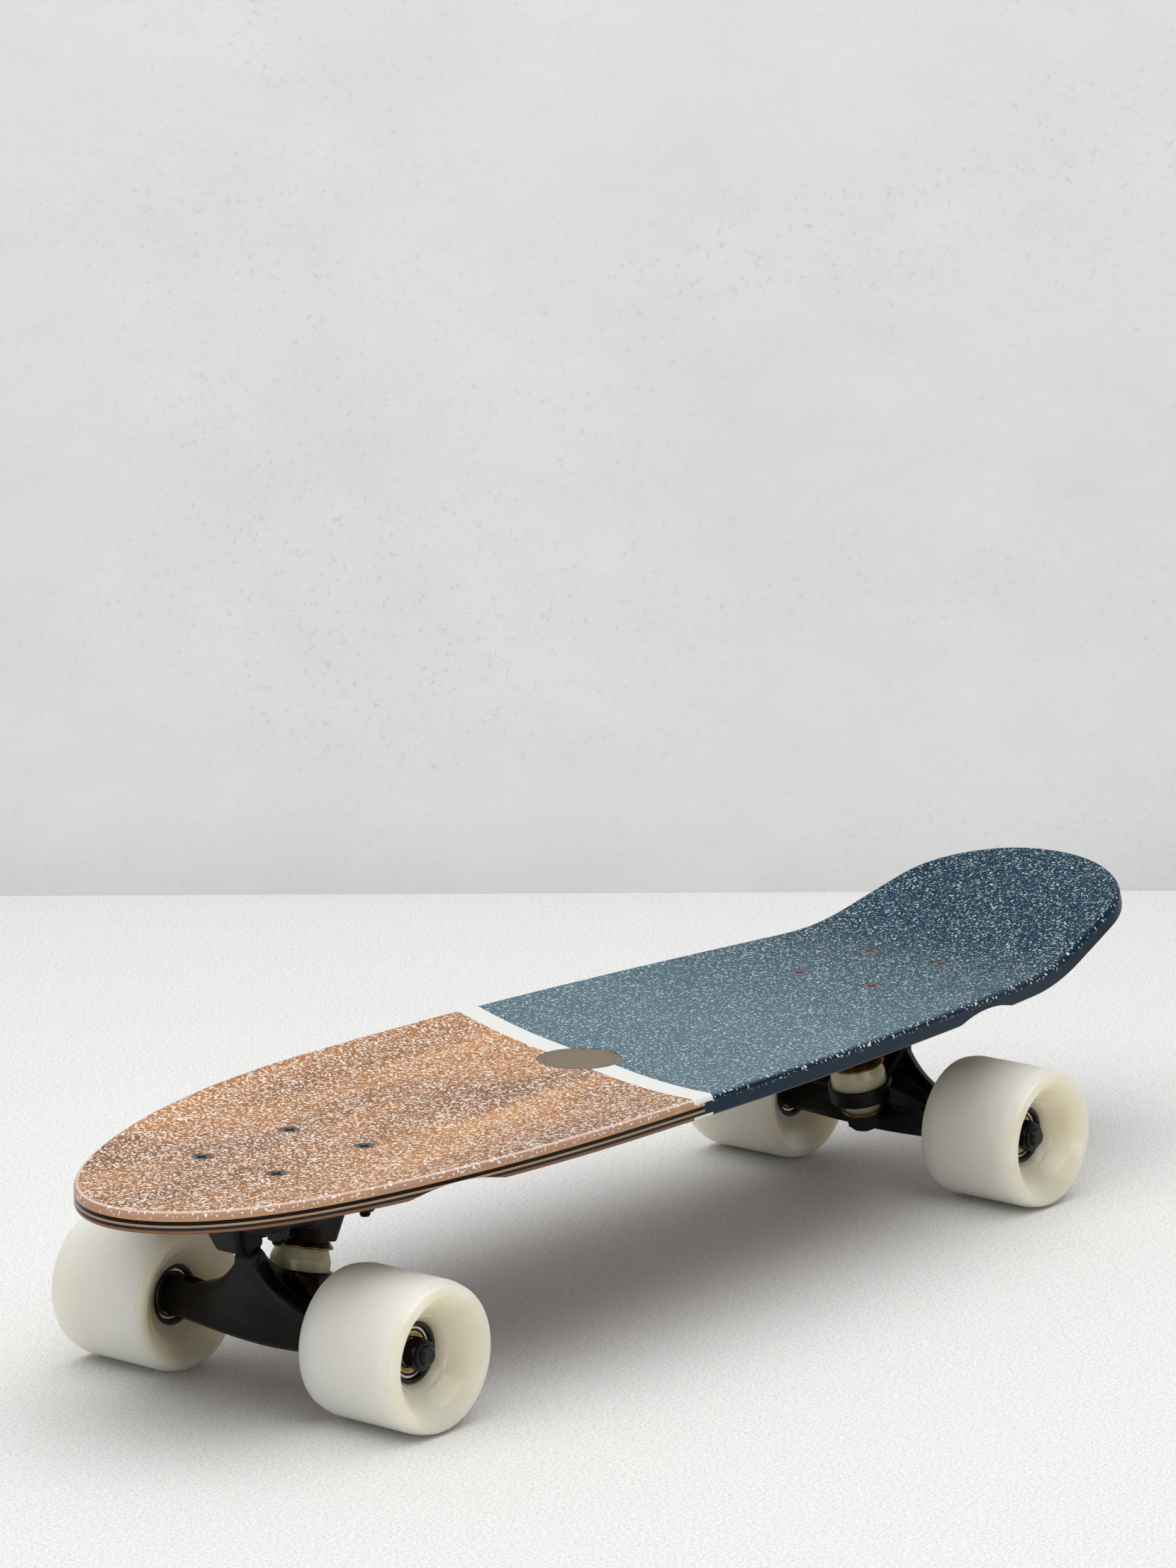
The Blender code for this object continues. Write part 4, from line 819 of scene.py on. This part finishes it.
HANGER_END = 0.0527
HANGER_SHOULDER = 0.044
ARM_RADIUS = 0.0090
FLAT_END = 0.030
FLAT_RUN = 0.014
NECK_TOP = 0.0620
NECK_TIP = 0.0030
NECK_FALL = 0.0130
NECK_TAPER = 0.01
NECK_HALF = 0.0062
NECK_ROUND = 0.0016
POCKET_FLOOR = 0.0378
POCKET_AT = 0.0362
CAST_VOXEL = 0.00045

KING_FRAME = (Matrix.Translation((KINGPIN_OUT, 0.0, KINGPIN_HEIGHT))
              @ Matrix.Rotation(math.pi - KINGPIN_TILT, 4, 'Y'))
YOKE_CENTRE = KING_FRAME @ Vector((0.0, 0.0, YOKE_MIDDLE))
STEER_AXIS = (Vector((PIVOT_OUT, 0.0, PIVOT_HEIGHT)) - YOKE_CENTRE).normalized()
PIVOT_FRAME = (Matrix.Translation((PIVOT_OUT, 0.0, PIVOT_HEIGHT))
               @ Matrix.Rotation(math.atan2(STEER_AXIS.x, STEER_AXIS.z), 4, 'Y'))


def cast_skin(item):
    """Round every edge of a casting as sand and paint do."""
    remesh = item.modifiers.new("remesh", 'REMESH')
    remesh.mode = 'VOXEL'
    remesh.voxel_size = CAST_VOXEL
    soft = item.modifiers.new("soft", 'SMOOTH')
    soft.factor = 0.5
    soft.iterations = 7
    return apply_modifiers(item)


def hanger_section(y):
    """One section across the hanger: the arm's circle swelling into the neck, corners rounded."""
    away = abs(y)
    angles = (-112, -68, -32, -6, 25, 55, 80, 105, 130, 155, 180, 215)
    arm = [(AXLE_OUT + ARM_RADIUS * math.cos(math.radians(a)),
            AXLE_HEIGHT + ARM_RADIUS * math.sin(math.radians(a))) for a in angles]
    middle_outline = [(0.0075, 0.0213), (0.0155, 0.0211), (0.0195, 0.0245), (0.0213, 0.0310),
                      (0.0240, 0.0415), (0.0254, 0.0520), (0.0250, NECK_TOP), (0.0190, NECK_TOP + 0.0035),
                      (0.0120, 0.0560), (0.0030, 0.0500), (0.0046, 0.0400), (0.0046, 0.0280)]
    fall = math.exp(-max(0.0, away - NECK_TIP) / NECK_FALL)
    rise = between(fall - NECK_TAPER * away / HANGER_SHOULDER)
    face = 1 - between(away / HANGER_SHOULDER) ** 1.6
    flat = between((FLAT_END - away) / FLAT_RUN)
    flat = flat * flat * (3 - 2 * flat)
    corners = []
    for k, ((ax, az), (mx, mz)) in enumerate(zip(arm, middle_outline)):
        share = (face, rise) if 5 <= k <= 9 else (flat, flat) if k >= 10 else (face, face)
        round_off = 0.0008 if k == 3 else 0.0030
        corners.append((lerp(ax, mx, share[0]), lerp(az, mz, share[1]), round_off))
    return [(x, y, z) for x, z in soften(corners, 0.0, 4, closed=True)]


def hanger_blank():
    stations = [HANGER_END * math.copysign(abs(t) ** 1.5, t) for t in
                (-1 + 2 * i / 80 for i in range(81))]
    return skin([hanger_section(y) for y in stations])


def hanger_neck():
    """Upright neck between the arms and the pivot, with its long edges rounded off."""
    side = [(0.0238, 0.0440, 0.0), (0.0252, 0.0520, 0.006), (0.0250, 0.0608, 0.002),
            (0.0238, 0.0636, 0.002), (0.0200, 0.0652, 0.003), (0.0172, 0.0612, 0.003),
            (0.0140, 0.0578, 0.004), (0.0095, 0.0542, 0.004), (0.0045, 0.0512, 0.003),
            (0.0015, 0.0498, 0.001), (0.0040, 0.0460, 0.0), (0.0120, 0.0420, 0.0)]
    outline = soften(side, 0.0, 5, closed=True)
    centre_x, centre_z = 0.0162, 0.0556
    reach = NECK_TOP - centre_z
    steps = [math.pi / 2 * i / 5 for i in range(6)]
    half = [(NECK_HALF - NECK_ROUND * (1 - math.sin(a)), 1 - NECK_ROUND * (1 - math.cos(a)) / reach)
            for a in steps]
    stations = [(-y, size) for y, size in reversed(half)] + half
    return skin([[(lerp(centre_x, x, size), y, lerp(centre_z, z, size)) for x, z in outline]
                         for y, size in stations])


def along_curve(points, share):
    """A point on a smooth curve through a list of points."""
    place = between(share, 0.0, 0.9999) * (len(points) - 1)
    k = int(place)
    t = place - k
    before, start, end = points[max(k - 1, 0)], points[k], points[k + 1]
    after = points[min(k + 2, len(points) - 1)]
    return [start[i] + 0.5 * t * (end[i] - before[i] + t * (
            2 * before[i] - 5 * start[i] + 4 * end[i] - after[i] + t * (
                3 * (start[i] - end[i]) + after[i] - before[i]))) for i in range(len(start))]


def yoke_wing(side):
    """Shoulder that runs from the yoke's side down into one arm."""
    stations = ((0.009, -0.0065, 0.0490, 0.0060, 0.0515, 0.0090),
                (0.014, -0.0055, 0.0475, 0.0070, 0.0500, 0.0085),
                (0.019, -0.0008, 0.0445, 0.0090, 0.0472, 0.0080),
                (0.025, 0.0022, 0.0412, 0.0100, 0.0436, 0.0075),
                (0.031, 0.0050, 0.0380, 0.0105, 0.0405, 0.0060))
    rings = []
    for i in range(17):
        y, inner, inner_top, outer, outer_top, depth = along_curve(stations, i / 16)
        rings.append([(inner, side * y, inner_top), (outer, side * y, outer_top),
                      (outer, side * y, outer_top - depth), (inner + 0.001, side * y, inner_top - depth)])
    return skin(rings)


def yoke_skirt():
    """Web under the yoke's outer half that runs down into the arms."""
    flare = [(-0.002, GAP - YOKE_RADIUS), (-0.0065, -0.0155), (-0.0095, -0.0178), (-0.0125, -0.0190),
             (-0.0160, -0.0190)]
    back = flare[-1][0]
    rings = []
    for i in range(9):
        share = i / 8
        height = lerp(YOKE_BOTTOM - 0.002, SKIRT_END, share)
        side = [(max(x - SKIRT_RETREAT * share, back), y) for x, y in flare[:-2]]
        side += [(max(flare[-2][0] - SKIRT_RETREAT * share / 2, back), flare[-2][1]), flare[-1]]
        rings.append([(x, y, height) for x, y in side + [(x, -y) for x, y in reversed(side)]])
    return move(skin(rings), KING_FRAME)


def yoke_ring():
    """Ring round the kingpin."""
    top = YOKE_TOP - YOKE_RIM
    return move(lathe(soften([(0.004, top), (YOKE_RADIUS, top), (YOKE_RADIUS, YOKE_BOTTOM),
                                      (0.004, YOKE_BOTTOM)], 0.0008), 96), KING_FRAME)


def pivot_stem():
    tip = PIVOT_CUP_HIGH - 0.0022
    radius = PIVOT_CUP_BORE - GAP
    root = tip - PIVOT_STEM_LENGTH
    profile = [(radius * 0.7, root), (radius, root + 0.004), (radius, tip - radius * 0.8)]
    profile += [(radius * math.cos(a), tip - radius * 0.8 + radius * 0.8 * math.sin(a))
                for a in (math.radians(12 * i) for i in range(1, 8))]
    return move(lathe(profile, 40), PIVOT_FRAME)


def arm_pocket(side):
    """Oval pocket in the top of one arm."""
    outline = [(0.0060 * math.cos(a), 0.0105 * math.sin(a))
               for a in (2 * math.pi * i / 48 for i in range(48))]
    levels = ((0.70, POCKET_FLOOR), (0.92, POCKET_FLOOR + 0.0012), (1.0, POCKET_FLOOR + 0.0025),
              (1.15, 0.052))
    rings = [[(AXLE_OUT + x * size, side * POCKET_AT + y * size, z) for x, y in outline]
             for size, z in levels]
    return skin(rings)


def king_drum(radius, low, high):
    """Cutter round the kingpin's axis."""
    return move(lathe([(radius, low), (radius, high)], 72), KING_FRAME)


def make_hanger():
    hanger = hanger_blank()
    join(hanger, hanger_neck())
    for side in (1, -1):
        join(hanger, yoke_wing(side))
    join(hanger, yoke_skirt())
    cut(hanger, king_drum(CAVITY_RADIUS, YOKE_BOTTOM - 0.001, CAVITY_END))
    join(hanger, yoke_ring())
    cut(hanger, king_drum(UPPER_BUSHING_WIDE + GAP, -0.004, YOKE_TOP))
    cut(hanger, king_drum(YOKE_HOLE, -0.004, YOKE_BOTTOM + 0.004))
    join(hanger, pivot_stem())
    bore = lathe([(AXLE_RADIUS + GAP, -0.1), (AXLE_RADIUS + GAP, 0.1)], 40)
    move(bore, Matrix.Translation((AXLE_OUT, 0.0, AXLE_HEIGHT)) @ Matrix.Rotation(math.pi / 2, 4, 'X'))
    cut(hanger, bore)
    for side in (1, -1):
        cut(hanger, arm_pocket(side))
    return cast_skin(hanger)


def copied(name):
    """A new object with the shape of a CAD node."""
    return show("piece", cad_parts[name].data.copy())


def eased(item, width):
    """Round the sharp edges of a piece."""
    bevel = item.modifiers.new("eased", 'BEVEL')
    bevel.width = width
    bevel.segments = 3
    bevel.limit_method = 'ANGLE'
    bevel.angle_limit = math.radians(50)
    return apply_modifiers(item)


def nut_shape(flats, bore, low, height, collar):
    """Lock nut about Z: hexagon with turned-off corners, round collar, bored through."""
    face, radius = flats / 2, flats / math.sqrt(3)
    high = low + height
    corners = [math.radians(30 + 60 * i) for i in range(6)]
    nut = skin([[(radius * math.cos(a), radius * math.sin(a), z) for a in corners] for z in (low, high)])
    drop = (radius - face) * 0.75
    blank = lathe([(face * 0.98, low), (radius * 1.01, low + drop), (radius * 1.01, high - drop),
                   (face * 0.98, high)], 48)
    combine(nut, blank, 'INTERSECT')
    top = high + collar
    inner, outer = flats * 0.30, flats * 0.455
    join(nut, lathe(soften([(inner, high - 0.001), (outer, high - 0.001), (outer, top), (inner, top)],
                           0.0007), 48))
    return cut(nut, lathe([(bore, low - CUT_PAST), (bore, top + CUT_PAST)], 40))


def thread(radius, low, high, pitch, depth):
    """Profile points of a run of thread."""
    turns = max(1, round((high - low) / pitch))
    points = []
    for i in range(turns):
        z = lerp(low, high, i / turns)
        points += [(radius - depth, z), (radius, z + pitch * 0.5)]
    return points


def make_bolt():
    """Countersunk bolt with a cross recess, thread, and a lock nut under the baseplate."""
    top = DECK_TOP - GAP / 2
    radius, head = BOLT_DIAMETER / 2, BOLT_HEAD_DIAMETER / 2
    end = top - BOLT_LENGTH
    nut_top = BASE_BOTTOM - GAP
    nut_low = nut_top - BOLT_NUT_HEIGHT
    profile = [(0.0012, end), (radius * 0.8, end)]
    profile += thread(radius, end + 0.0006, nut_top + 0.001, 0.0008, 0.00025)
    profile += [(radius, nut_top + 0.002), (radius, top - BOLT_HEAD_HEIGHT), (head, top - GAP),
                (head - 0.0002, top), (0.002, top)]
    bolt = lathe(profile, 40)
    rings = [[(-reach, -half, z), (reach, -half, z), (reach, half, z), (-reach, half, z)]
             for reach, half, z in ((0.0012, RECESS_HALF * 0.5, top - RECESS_DEPTH),
                                    (0.0028, RECESS_HALF, top - 0.0004),
                                    (0.0031, RECESS_HALF * 1.15, top + 0.001))]
    for turn in (0.0, math.pi / 2):
        cut(bolt, move(skin(rings), Matrix.Rotation(turn, 4, 'Z')))
    nut = nut_shape(BOLT_NUT_FLATS, radius - 0.0001, nut_low, BOLT_NUT_HEIGHT - BOLT_NUT_COLLAR,
                    BOLT_NUT_COLLAR)
    move(nut, Matrix.Translation((0.0, 0.0, nut_low + nut_top)) @ Matrix.Rotation(math.pi, 4, 'X'))
    return join(bolt, nut)


def make_kingpin():
    profile = [(KINGPIN_RADIUS, KINGPIN_HEAD - 0.002)]
    profile += thread(KINGPIN_RADIUS, 0.0212, KINGPIN_END - 0.0012, 0.0011, 0.0004)
    profile += [(KINGPIN_RADIUS * 0.82, KINGPIN_END - 0.0005), (KINGPIN_RADIUS * 0.5, KINGPIN_END)]
    return lathe(profile, 40)


def make_cup(radius, back, lip, flare):
    """Dished washer with a rolled lip that stands towards the bushing."""
    face = back + math.copysign(CUP_THICKNESS, lip)
    rim = face + lip
    return hollow([(KINGPIN_BORE, back, 0.0002), (radius - flare, back, 0.0010),
                   (radius, lerp(rim, back, 0.22), 0.0005), (radius - CUP_RIM / 5, rim, 0.0003),
                   (radius - CUP_RIM, rim, 0.0003), (radius - CUP_RIM / 3 - flare, face, 0.0010),
                   (KINGPIN_BORE, face, 0.0002)], 96)


def make_upper_bushing():
    """Barrel bushing, straight where it seats in the yoke."""
    low, high = -UPPER_CUP_LIP + GAP, YOKE_TOP - GAP
    wide = UPPER_BUSHING_WIDE
    return hollow([(KINGPIN_BORE, low, 0.0003), (UPPER_BUSHING_TOP, low, 0.0007),
                   (wide, lerp(low, high, 0.52), 0.0040), (wide, high, 0.0008),
                   (KINGPIN_BORE, high, 0.0003)], 96, 8)


def make_lower_bushing():
    """Cone bushing, straight where it seats under the yoke."""
    low, high = YOKE_BOTTOM + GAP, LOWER_CUP_AT - GAP
    wide = LOWER_BUSHING_WIDE
    return hollow([(KINGPIN_BORE, low, 0.0003), (wide, low, 0.0006), (wide, lerp(low, high, 0.35), 0.0012),
                   (LOWER_BUSHING_END, high, 0.0008), (KINGPIN_BORE, high, 0.0003)], 80)


def make_pivot_cup():
    centre, floor = 0.0005, PIVOT_CUP_HIGH - 0.0014
    profile = [(centre, floor), (PIVOT_CUP_BORE, floor), (PIVOT_CUP_BORE, PIVOT_CUP_LOW),
               (PIVOT_CUP_RADIUS, PIVOT_CUP_LOW), (PIVOT_CUP_RADIUS, PIVOT_CUP_HIGH),
               (centre, PIVOT_CUP_HIGH)]
    return lathe(soften(profile, 0.0004), 48)


# Wheels and bearings, turned about Z with z measured outward from the board's centreline

TRACK_HALF = 0.0691
WHEEL_RADIUS = 0.032
WHEEL_HALF = 0.0263
TREAD_HALF = 0.0190
LIP_RADIUS = 0.0280
LIP_ROUND = 0.0030
LIP_TURN = math.radians(130)
DISH_BEND = (0.0220, 0.0219)
CORE_RADIUS = 0.0128
CORE_LIP = 0.0017
INNER_MOUTH = 0.0154
BEARING_RADIUS = 0.011
BEARING_WIDTH = 0.007
BEARING_SPACING = 0.010
RING_BORE = 0.0096
RACE_RADIUS = 0.0062
RACE_BORE = 0.0043
CORE_STOP = 0.009
WASHER_RADIUS = 0.00575
WASHER_THICKNESS = 0.0010
AXLE_LENGTH = 0.1758
INBOARD_BEARING = HANGER_END + GAP + WASHER_THICKNESS
OUTBOARD_BEARING = INBOARD_BEARING + BEARING_WIDTH + BEARING_SPACING
CORE_LOW = INBOARD_BEARING - CORE_LIP
CORE_HIGH = OUTBOARD_BEARING + BEARING_WIDTH + CORE_LIP


def make_tyre():
    """Cast wheel: ground tread, glossy shoulders that roll over a lip into the dished sides."""
    bore = CORE_RADIUS + GAP
    high, low = CORE_HIGH - TRACK_HALF, CORE_LOW - TRACK_HALF
    lip_high = WHEEL_HALF - LIP_ROUND
    sweep = [LIP_TURN * i / 18 for i in range(19)]
    arc = [(LIP_RADIUS + LIP_ROUND * math.cos(a), lip_high + LIP_ROUND * math.sin(a), 0.0) for a in sweep]
    shoulder = [(WHEEL_RADIUS, TREAD_HALF, 0.0060),
                (LIP_RADIUS + LIP_ROUND + 0.0002, lip_high - 0.0002, 0.0002)]
    profile = [(bore, high + GAP, 0.0003), (0.0153, 0.0142, 0.0004), (0.0164, 0.0149, 0.0005),
               (*DISH_BEND, 0.0050)]
    profile += list(reversed(arc)) + list(reversed(shoulder))
    profile += [(radius, -z, size) for radius, z, size in shoulder + arc]
    profile += [(0.0200, low - 0.0050, 0.0040), (INNER_MOUTH, low - GAP, 0.0008),
                (bore, low - GAP, 0.0003)]
    return move(hollow(profile, 144), Matrix.Translation((0.0, 0.0, TRACK_HALF)))


def make_core():
    seat = BEARING_RADIUS + GAP / 2
    stop_low = INBOARD_BEARING + BEARING_WIDTH + GAP
    stop_high = OUTBOARD_BEARING - GAP
    return hollow([(seat, CORE_LOW), (CORE_RADIUS, CORE_LOW), (CORE_RADIUS, CORE_HIGH), (seat, CORE_HIGH),
                   (seat, stop_high), (CORE_STOP, stop_high), (CORE_STOP, stop_low), (seat, stop_low)],
                  96, 3, 0.0004)


def bearing_shapes(face, way):
    """One bearing and its speed washer, from the face that shows (way is 1 if it looks outward).

    Each shape comes with its finish and with whether it turns with the wheel.
    """
    def turned(points, size=0.0002):
        return hollow([(radius, face + way * z) for radius, z in points], 80, 3, size)

    def band(inner, outer, start, end, size=0.0002):
        return turned([(inner, start), (outer, start), (outer, end), (inner, end)], size)

    shield = turned([(0.0066, -0.0006), (0.0074, -0.0006), (0.0078, -0.0004), (0.0088, -0.0004),
                     (0.0090, -0.0007), (0.0090, -0.0012), (0.0066, -0.0012)])
    return {
        "ring": (band(RING_BORE, BEARING_RADIUS, 0.0, -BEARING_WIDTH, 0.0004), "race", True),
        "seal": (band(0.0090, RING_BORE, -0.0009, -0.0060), "seal", True),
        "shield": (shield, "shield", True),
        "inner_ring": (band(RACE_BORE, RACE_RADIUS, 0.0, -BEARING_WIDTH, 0.0003), "race", False),
        "washer": (band(RACE_BORE, WASHER_RADIUS, WASHER_THICKNESS, 0.0), "steel", False),
    }


def make_axle():
    half = AXLE_LENGTH / 2
    run, chamfer = 0.006, 0.0008
    side = thread(AXLE_RADIUS, half - run, half - chamfer, 0.00106, 0.00035)
    side += [(AXLE_RADIUS - 0.0002, half - chamfer), (AXLE_RADIUS - chamfer, half), (0.0008, half)]
    return lathe([(radius, -z) for radius, z in reversed(side)] + side, 48)


def make_axle_nut():
    low = OUTBOARD_BEARING + BEARING_WIDTH + WASHER_THICKNESS + GAP
    return nut_shape(0.0127, AXLE_RADIUS + GAP / 2, low, 0.0050, 0.0016)


def stand(shape, matrix):
    """A copy of a shape, moved to its place."""
    return move(show("piece", shape.data.copy()), matrix)


def dress_truck(end, shapes, finishes):
    """The pieces of one truck and its wheels."""
    truck = TRUCK[end]
    king = truck @ KING_FRAME
    axle_at = Matrix.Translation((middle(f"{end}_axle").x, 0.0, AXLE_HEIGHT))
    hanger_body = f"{end}_hanger"

    def put(item, piece, ending, body, finish):
        return dress(item, f"{end}_{piece}_{ending}", body, finishes[finish], [f"{end}_{piece}"])

    put(cast_skin(copied(f"{end}_baseplate")), "baseplate", "casting", "deck", "cast")
    put(stand(shapes["hanger"], truck), "hanger", "casting", hanger_body, "cast")
    put(eased(copied(f"{end}_riser"), 0.0005), "riser", "pad", "deck", "seal")
    for piece, finish in (("upper_cup_washer", "bronze"), ("lower_cup_washer", "bronze"),
                          ("kingpin", "steel"), ("kingpin_nut", "steel")):
        put(stand(shapes[piece], king), piece, "fine", "deck", finish)
    put(stand(shapes["pivot_cup"], truck @ PIVOT_FRAME), "pivot_cup", "fine", "deck", "nylon")
    for piece, start, stop in (("upper_bushing", 0.001, YOKE_TOP - 0.001),
                               ("lower_bushing", LOWER_CUP_AT - 0.001, YOKE_BOTTOM + 0.001)):
        bushing = put(stand(shapes[piece], king), piece, "fine", None, "cream")
        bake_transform(bushing)
    for number in range(1, 5):
        centre = middle(f"{end}_bolt_{number}")
        put(stand(shapes["bolt"], Matrix.Translation((centre.x, centre.y, 0.0))), f"bolt_{number}", "fine",
            "deck", "bolt" if end == "front" else "rear_bolt")
    put(stand(shapes["axle"], axle_at @ Matrix.Rotation(-math.pi / 2, 4, 'X')), "axle", "fine",
        hanger_body, "steel")
    for side, way in (("left", 1), ("right", -1)):
        wheel = f"{end}_{side}_wheel"
        outward = axle_at @ Matrix.Rotation(-way * math.pi / 2, 4, 'X')
        for piece, ending, body, finish in (
                ("tyre", "cast", wheel, "ivory"), ("core", "fine", wheel, "nylon"),
                ("axle_nut", "fine", hanger_body, "steel")):
            put(stand(shapes[piece], outward), f"{side}_{piece}", ending, body, finish)
        for row in ("inboard", "outboard"):
            place = f"{end}_{side}_{row}"
            for part, (shape, finish, turns) in shapes[row].items():
                race = {"ring": "outer_race", "inner_ring": "inner_race"}.get(part)
                dress(stand(shape, outward), f"{place}_{part}", wheel if turns else hanger_body,
                      finishes[finish], [f"{place}_{race}"] if race else [])


def make_trucks(finishes):
    """Every shape once, stood at each truck, then the patterns removed."""
    shapes = {
        "hanger": make_hanger(), "bolt": make_bolt(), "kingpin": make_kingpin(),
        "kingpin_nut": nut_shape(KINGPIN_HEX, KINGPIN_RADIUS, LOWER_CUP_AT + CUP_THICKNESS + GAP,
                                 KINGPIN_NUT_HEIGHT, 0.0014),
        "upper_cup_washer": make_cup(UPPER_CUP_RADIUS, -UPPER_CUP_LIP - CUP_THICKNESS, UPPER_CUP_LIP,
                                     UPPER_CUP_FLARE),
        "lower_cup_washer": make_cup(LOWER_CUP_RADIUS, LOWER_CUP_AT + CUP_THICKNESS, -LOWER_CUP_LIP,
                                     LOWER_CUP_FLARE),
        "upper_bushing": make_upper_bushing(), "lower_bushing": make_lower_bushing(),
        "pivot_cup": make_pivot_cup(), "axle": make_axle(), "axle_nut": make_axle_nut(),
        "tyre": make_tyre(), "core": make_core(),
        "inboard": bearing_shapes(INBOARD_BEARING, -1.0),
        "outboard": bearing_shapes(OUTBOARD_BEARING + BEARING_WIDTH, 1.0),
    }
    for end in ("front", "rear"):
        dress_truck(end, shapes, finishes)
    for shape in shapes.values():
        for item, *_ in (shape.values() if isinstance(shape, dict) else [(shape,)]):
            bpy.data.objects.remove(item, do_unlink=True)


def make_badge(finish):
    """Low disc with a rounded rim and a shallow dish."""
    top, low, radius = BADGE_TOP, BADGE_BOTTOM, BADGE_RADIUS
    dish = top - 0.0002
    profile = [(0.0004, low), (radius, low, 0.0002), (radius, top, 0.0004), (radius - 0.0013, top, 0.0003),
               (radius - 0.0017, dish, 0.0003), (0.0004, dish)]
    disc = move(lathe(soften(profile, 0.0, 5), 128), Matrix.Translation((middle("badge").x, 0.0, 0.0)))
    dress(disc, "badge_disc", "deck", finish, ["badge"])


# Camera, stage and light

def make_camera():
    data = bpy.data.cameras.new("photo_camera")
    data.lens = CAMERA_FOCAL / PHOTO_HEIGHT * SENSOR
    data.sensor_fit = 'AUTO'
    data.sensor_width = SENSOR
    data.clip_start = 0.1
    data.clip_end = 50.0
    camera = show("photo_camera", data)
    yaw, pitch, roll = CAMERA_YAW, CAMERA_PITCH, CAMERA_ROLL
    forward = Vector((math.cos(yaw) * math.cos(pitch), math.sin(yaw) * math.cos(pitch), -math.sin(pitch)))
    right = Vector((math.sin(yaw), -math.cos(yaw), 0.0))
    down = forward.cross(right)
    right_rolled = math.cos(roll) * right + math.sin(roll) * down
    down_rolled = math.cos(roll) * down - math.sin(roll) * right
    turn = Matrix((right_rolled, -down_rolled, -forward)).transposed()
    camera.matrix_world = Matrix.Translation(CAMERA_PLACE) @ turn.to_4x4()
    bpy.context.scene.camera = camera


def flat_panel(name, corners, paint):
    shape = bmesh.new()
    shape.faces.new([shape.verts.new(corner) for corner in corners])
    panel = finish_mesh(shape, name)
    panel.data.materials.append(paint)


def make_stage():
    """Floor and wall, square to the camera."""
    ahead = Vector((math.cos(CAMERA_YAW), math.sin(CAMERA_YAW), 0.0))
    side = Vector((-ahead.y, ahead.x, 0.0)) * STAGE_HALF
    foot = Vector((CAMERA_PLACE.x, CAMERA_PLACE.y, 0.0)) + ahead * WALL_DISTANCE
    near = ahead * FLOOR_LENGTH
    up = Vector((0.0, 0.0, WALL_HEIGHT))
    flat_panel("studio_floor", [foot - side, foot + side, foot + side - near, foot - side - near],
               floor_material())
    flat_panel("studio_wall", [foot - side, foot + side, foot + side + up, foot - side + up],
               wall_material())


def make_light():
    world = bpy.data.worlds.new("studio")
    bpy.context.scene.world = world
    world.use_nodes = True
    sky = world.node_tree.nodes["Background"].inputs
    sky["Color"].default_value = (1.0, 1.0, 1.0, 1.0)
    sky["Strength"].default_value = WORLD_STRENGTH
    for name, (place, aim, size, power) in LAMPS.items():
        data = bpy.data.lights.new(name, 'AREA')
        data.shape = 'RECTANGLE'
        data.size, data.size_y = size
        data.energy = power
        lamp = show(name, data)
        lamp.location = place
        lamp.rotation_mode = 'QUATERNION'
        lamp.rotation_quaternion = (Vector(aim) - Vector(place)).to_track_quat('-Z', 'Y')


def main():
    scene = bpy.context.scene
    scene.view_settings.view_transform = 'Standard'
    finishes = make_finishes()
    make_camera()
    make_stage()
    make_light()
    make_deck(finishes["deck"])
    make_badge(finishes["badge"])
    make_trucks(finishes)


main()
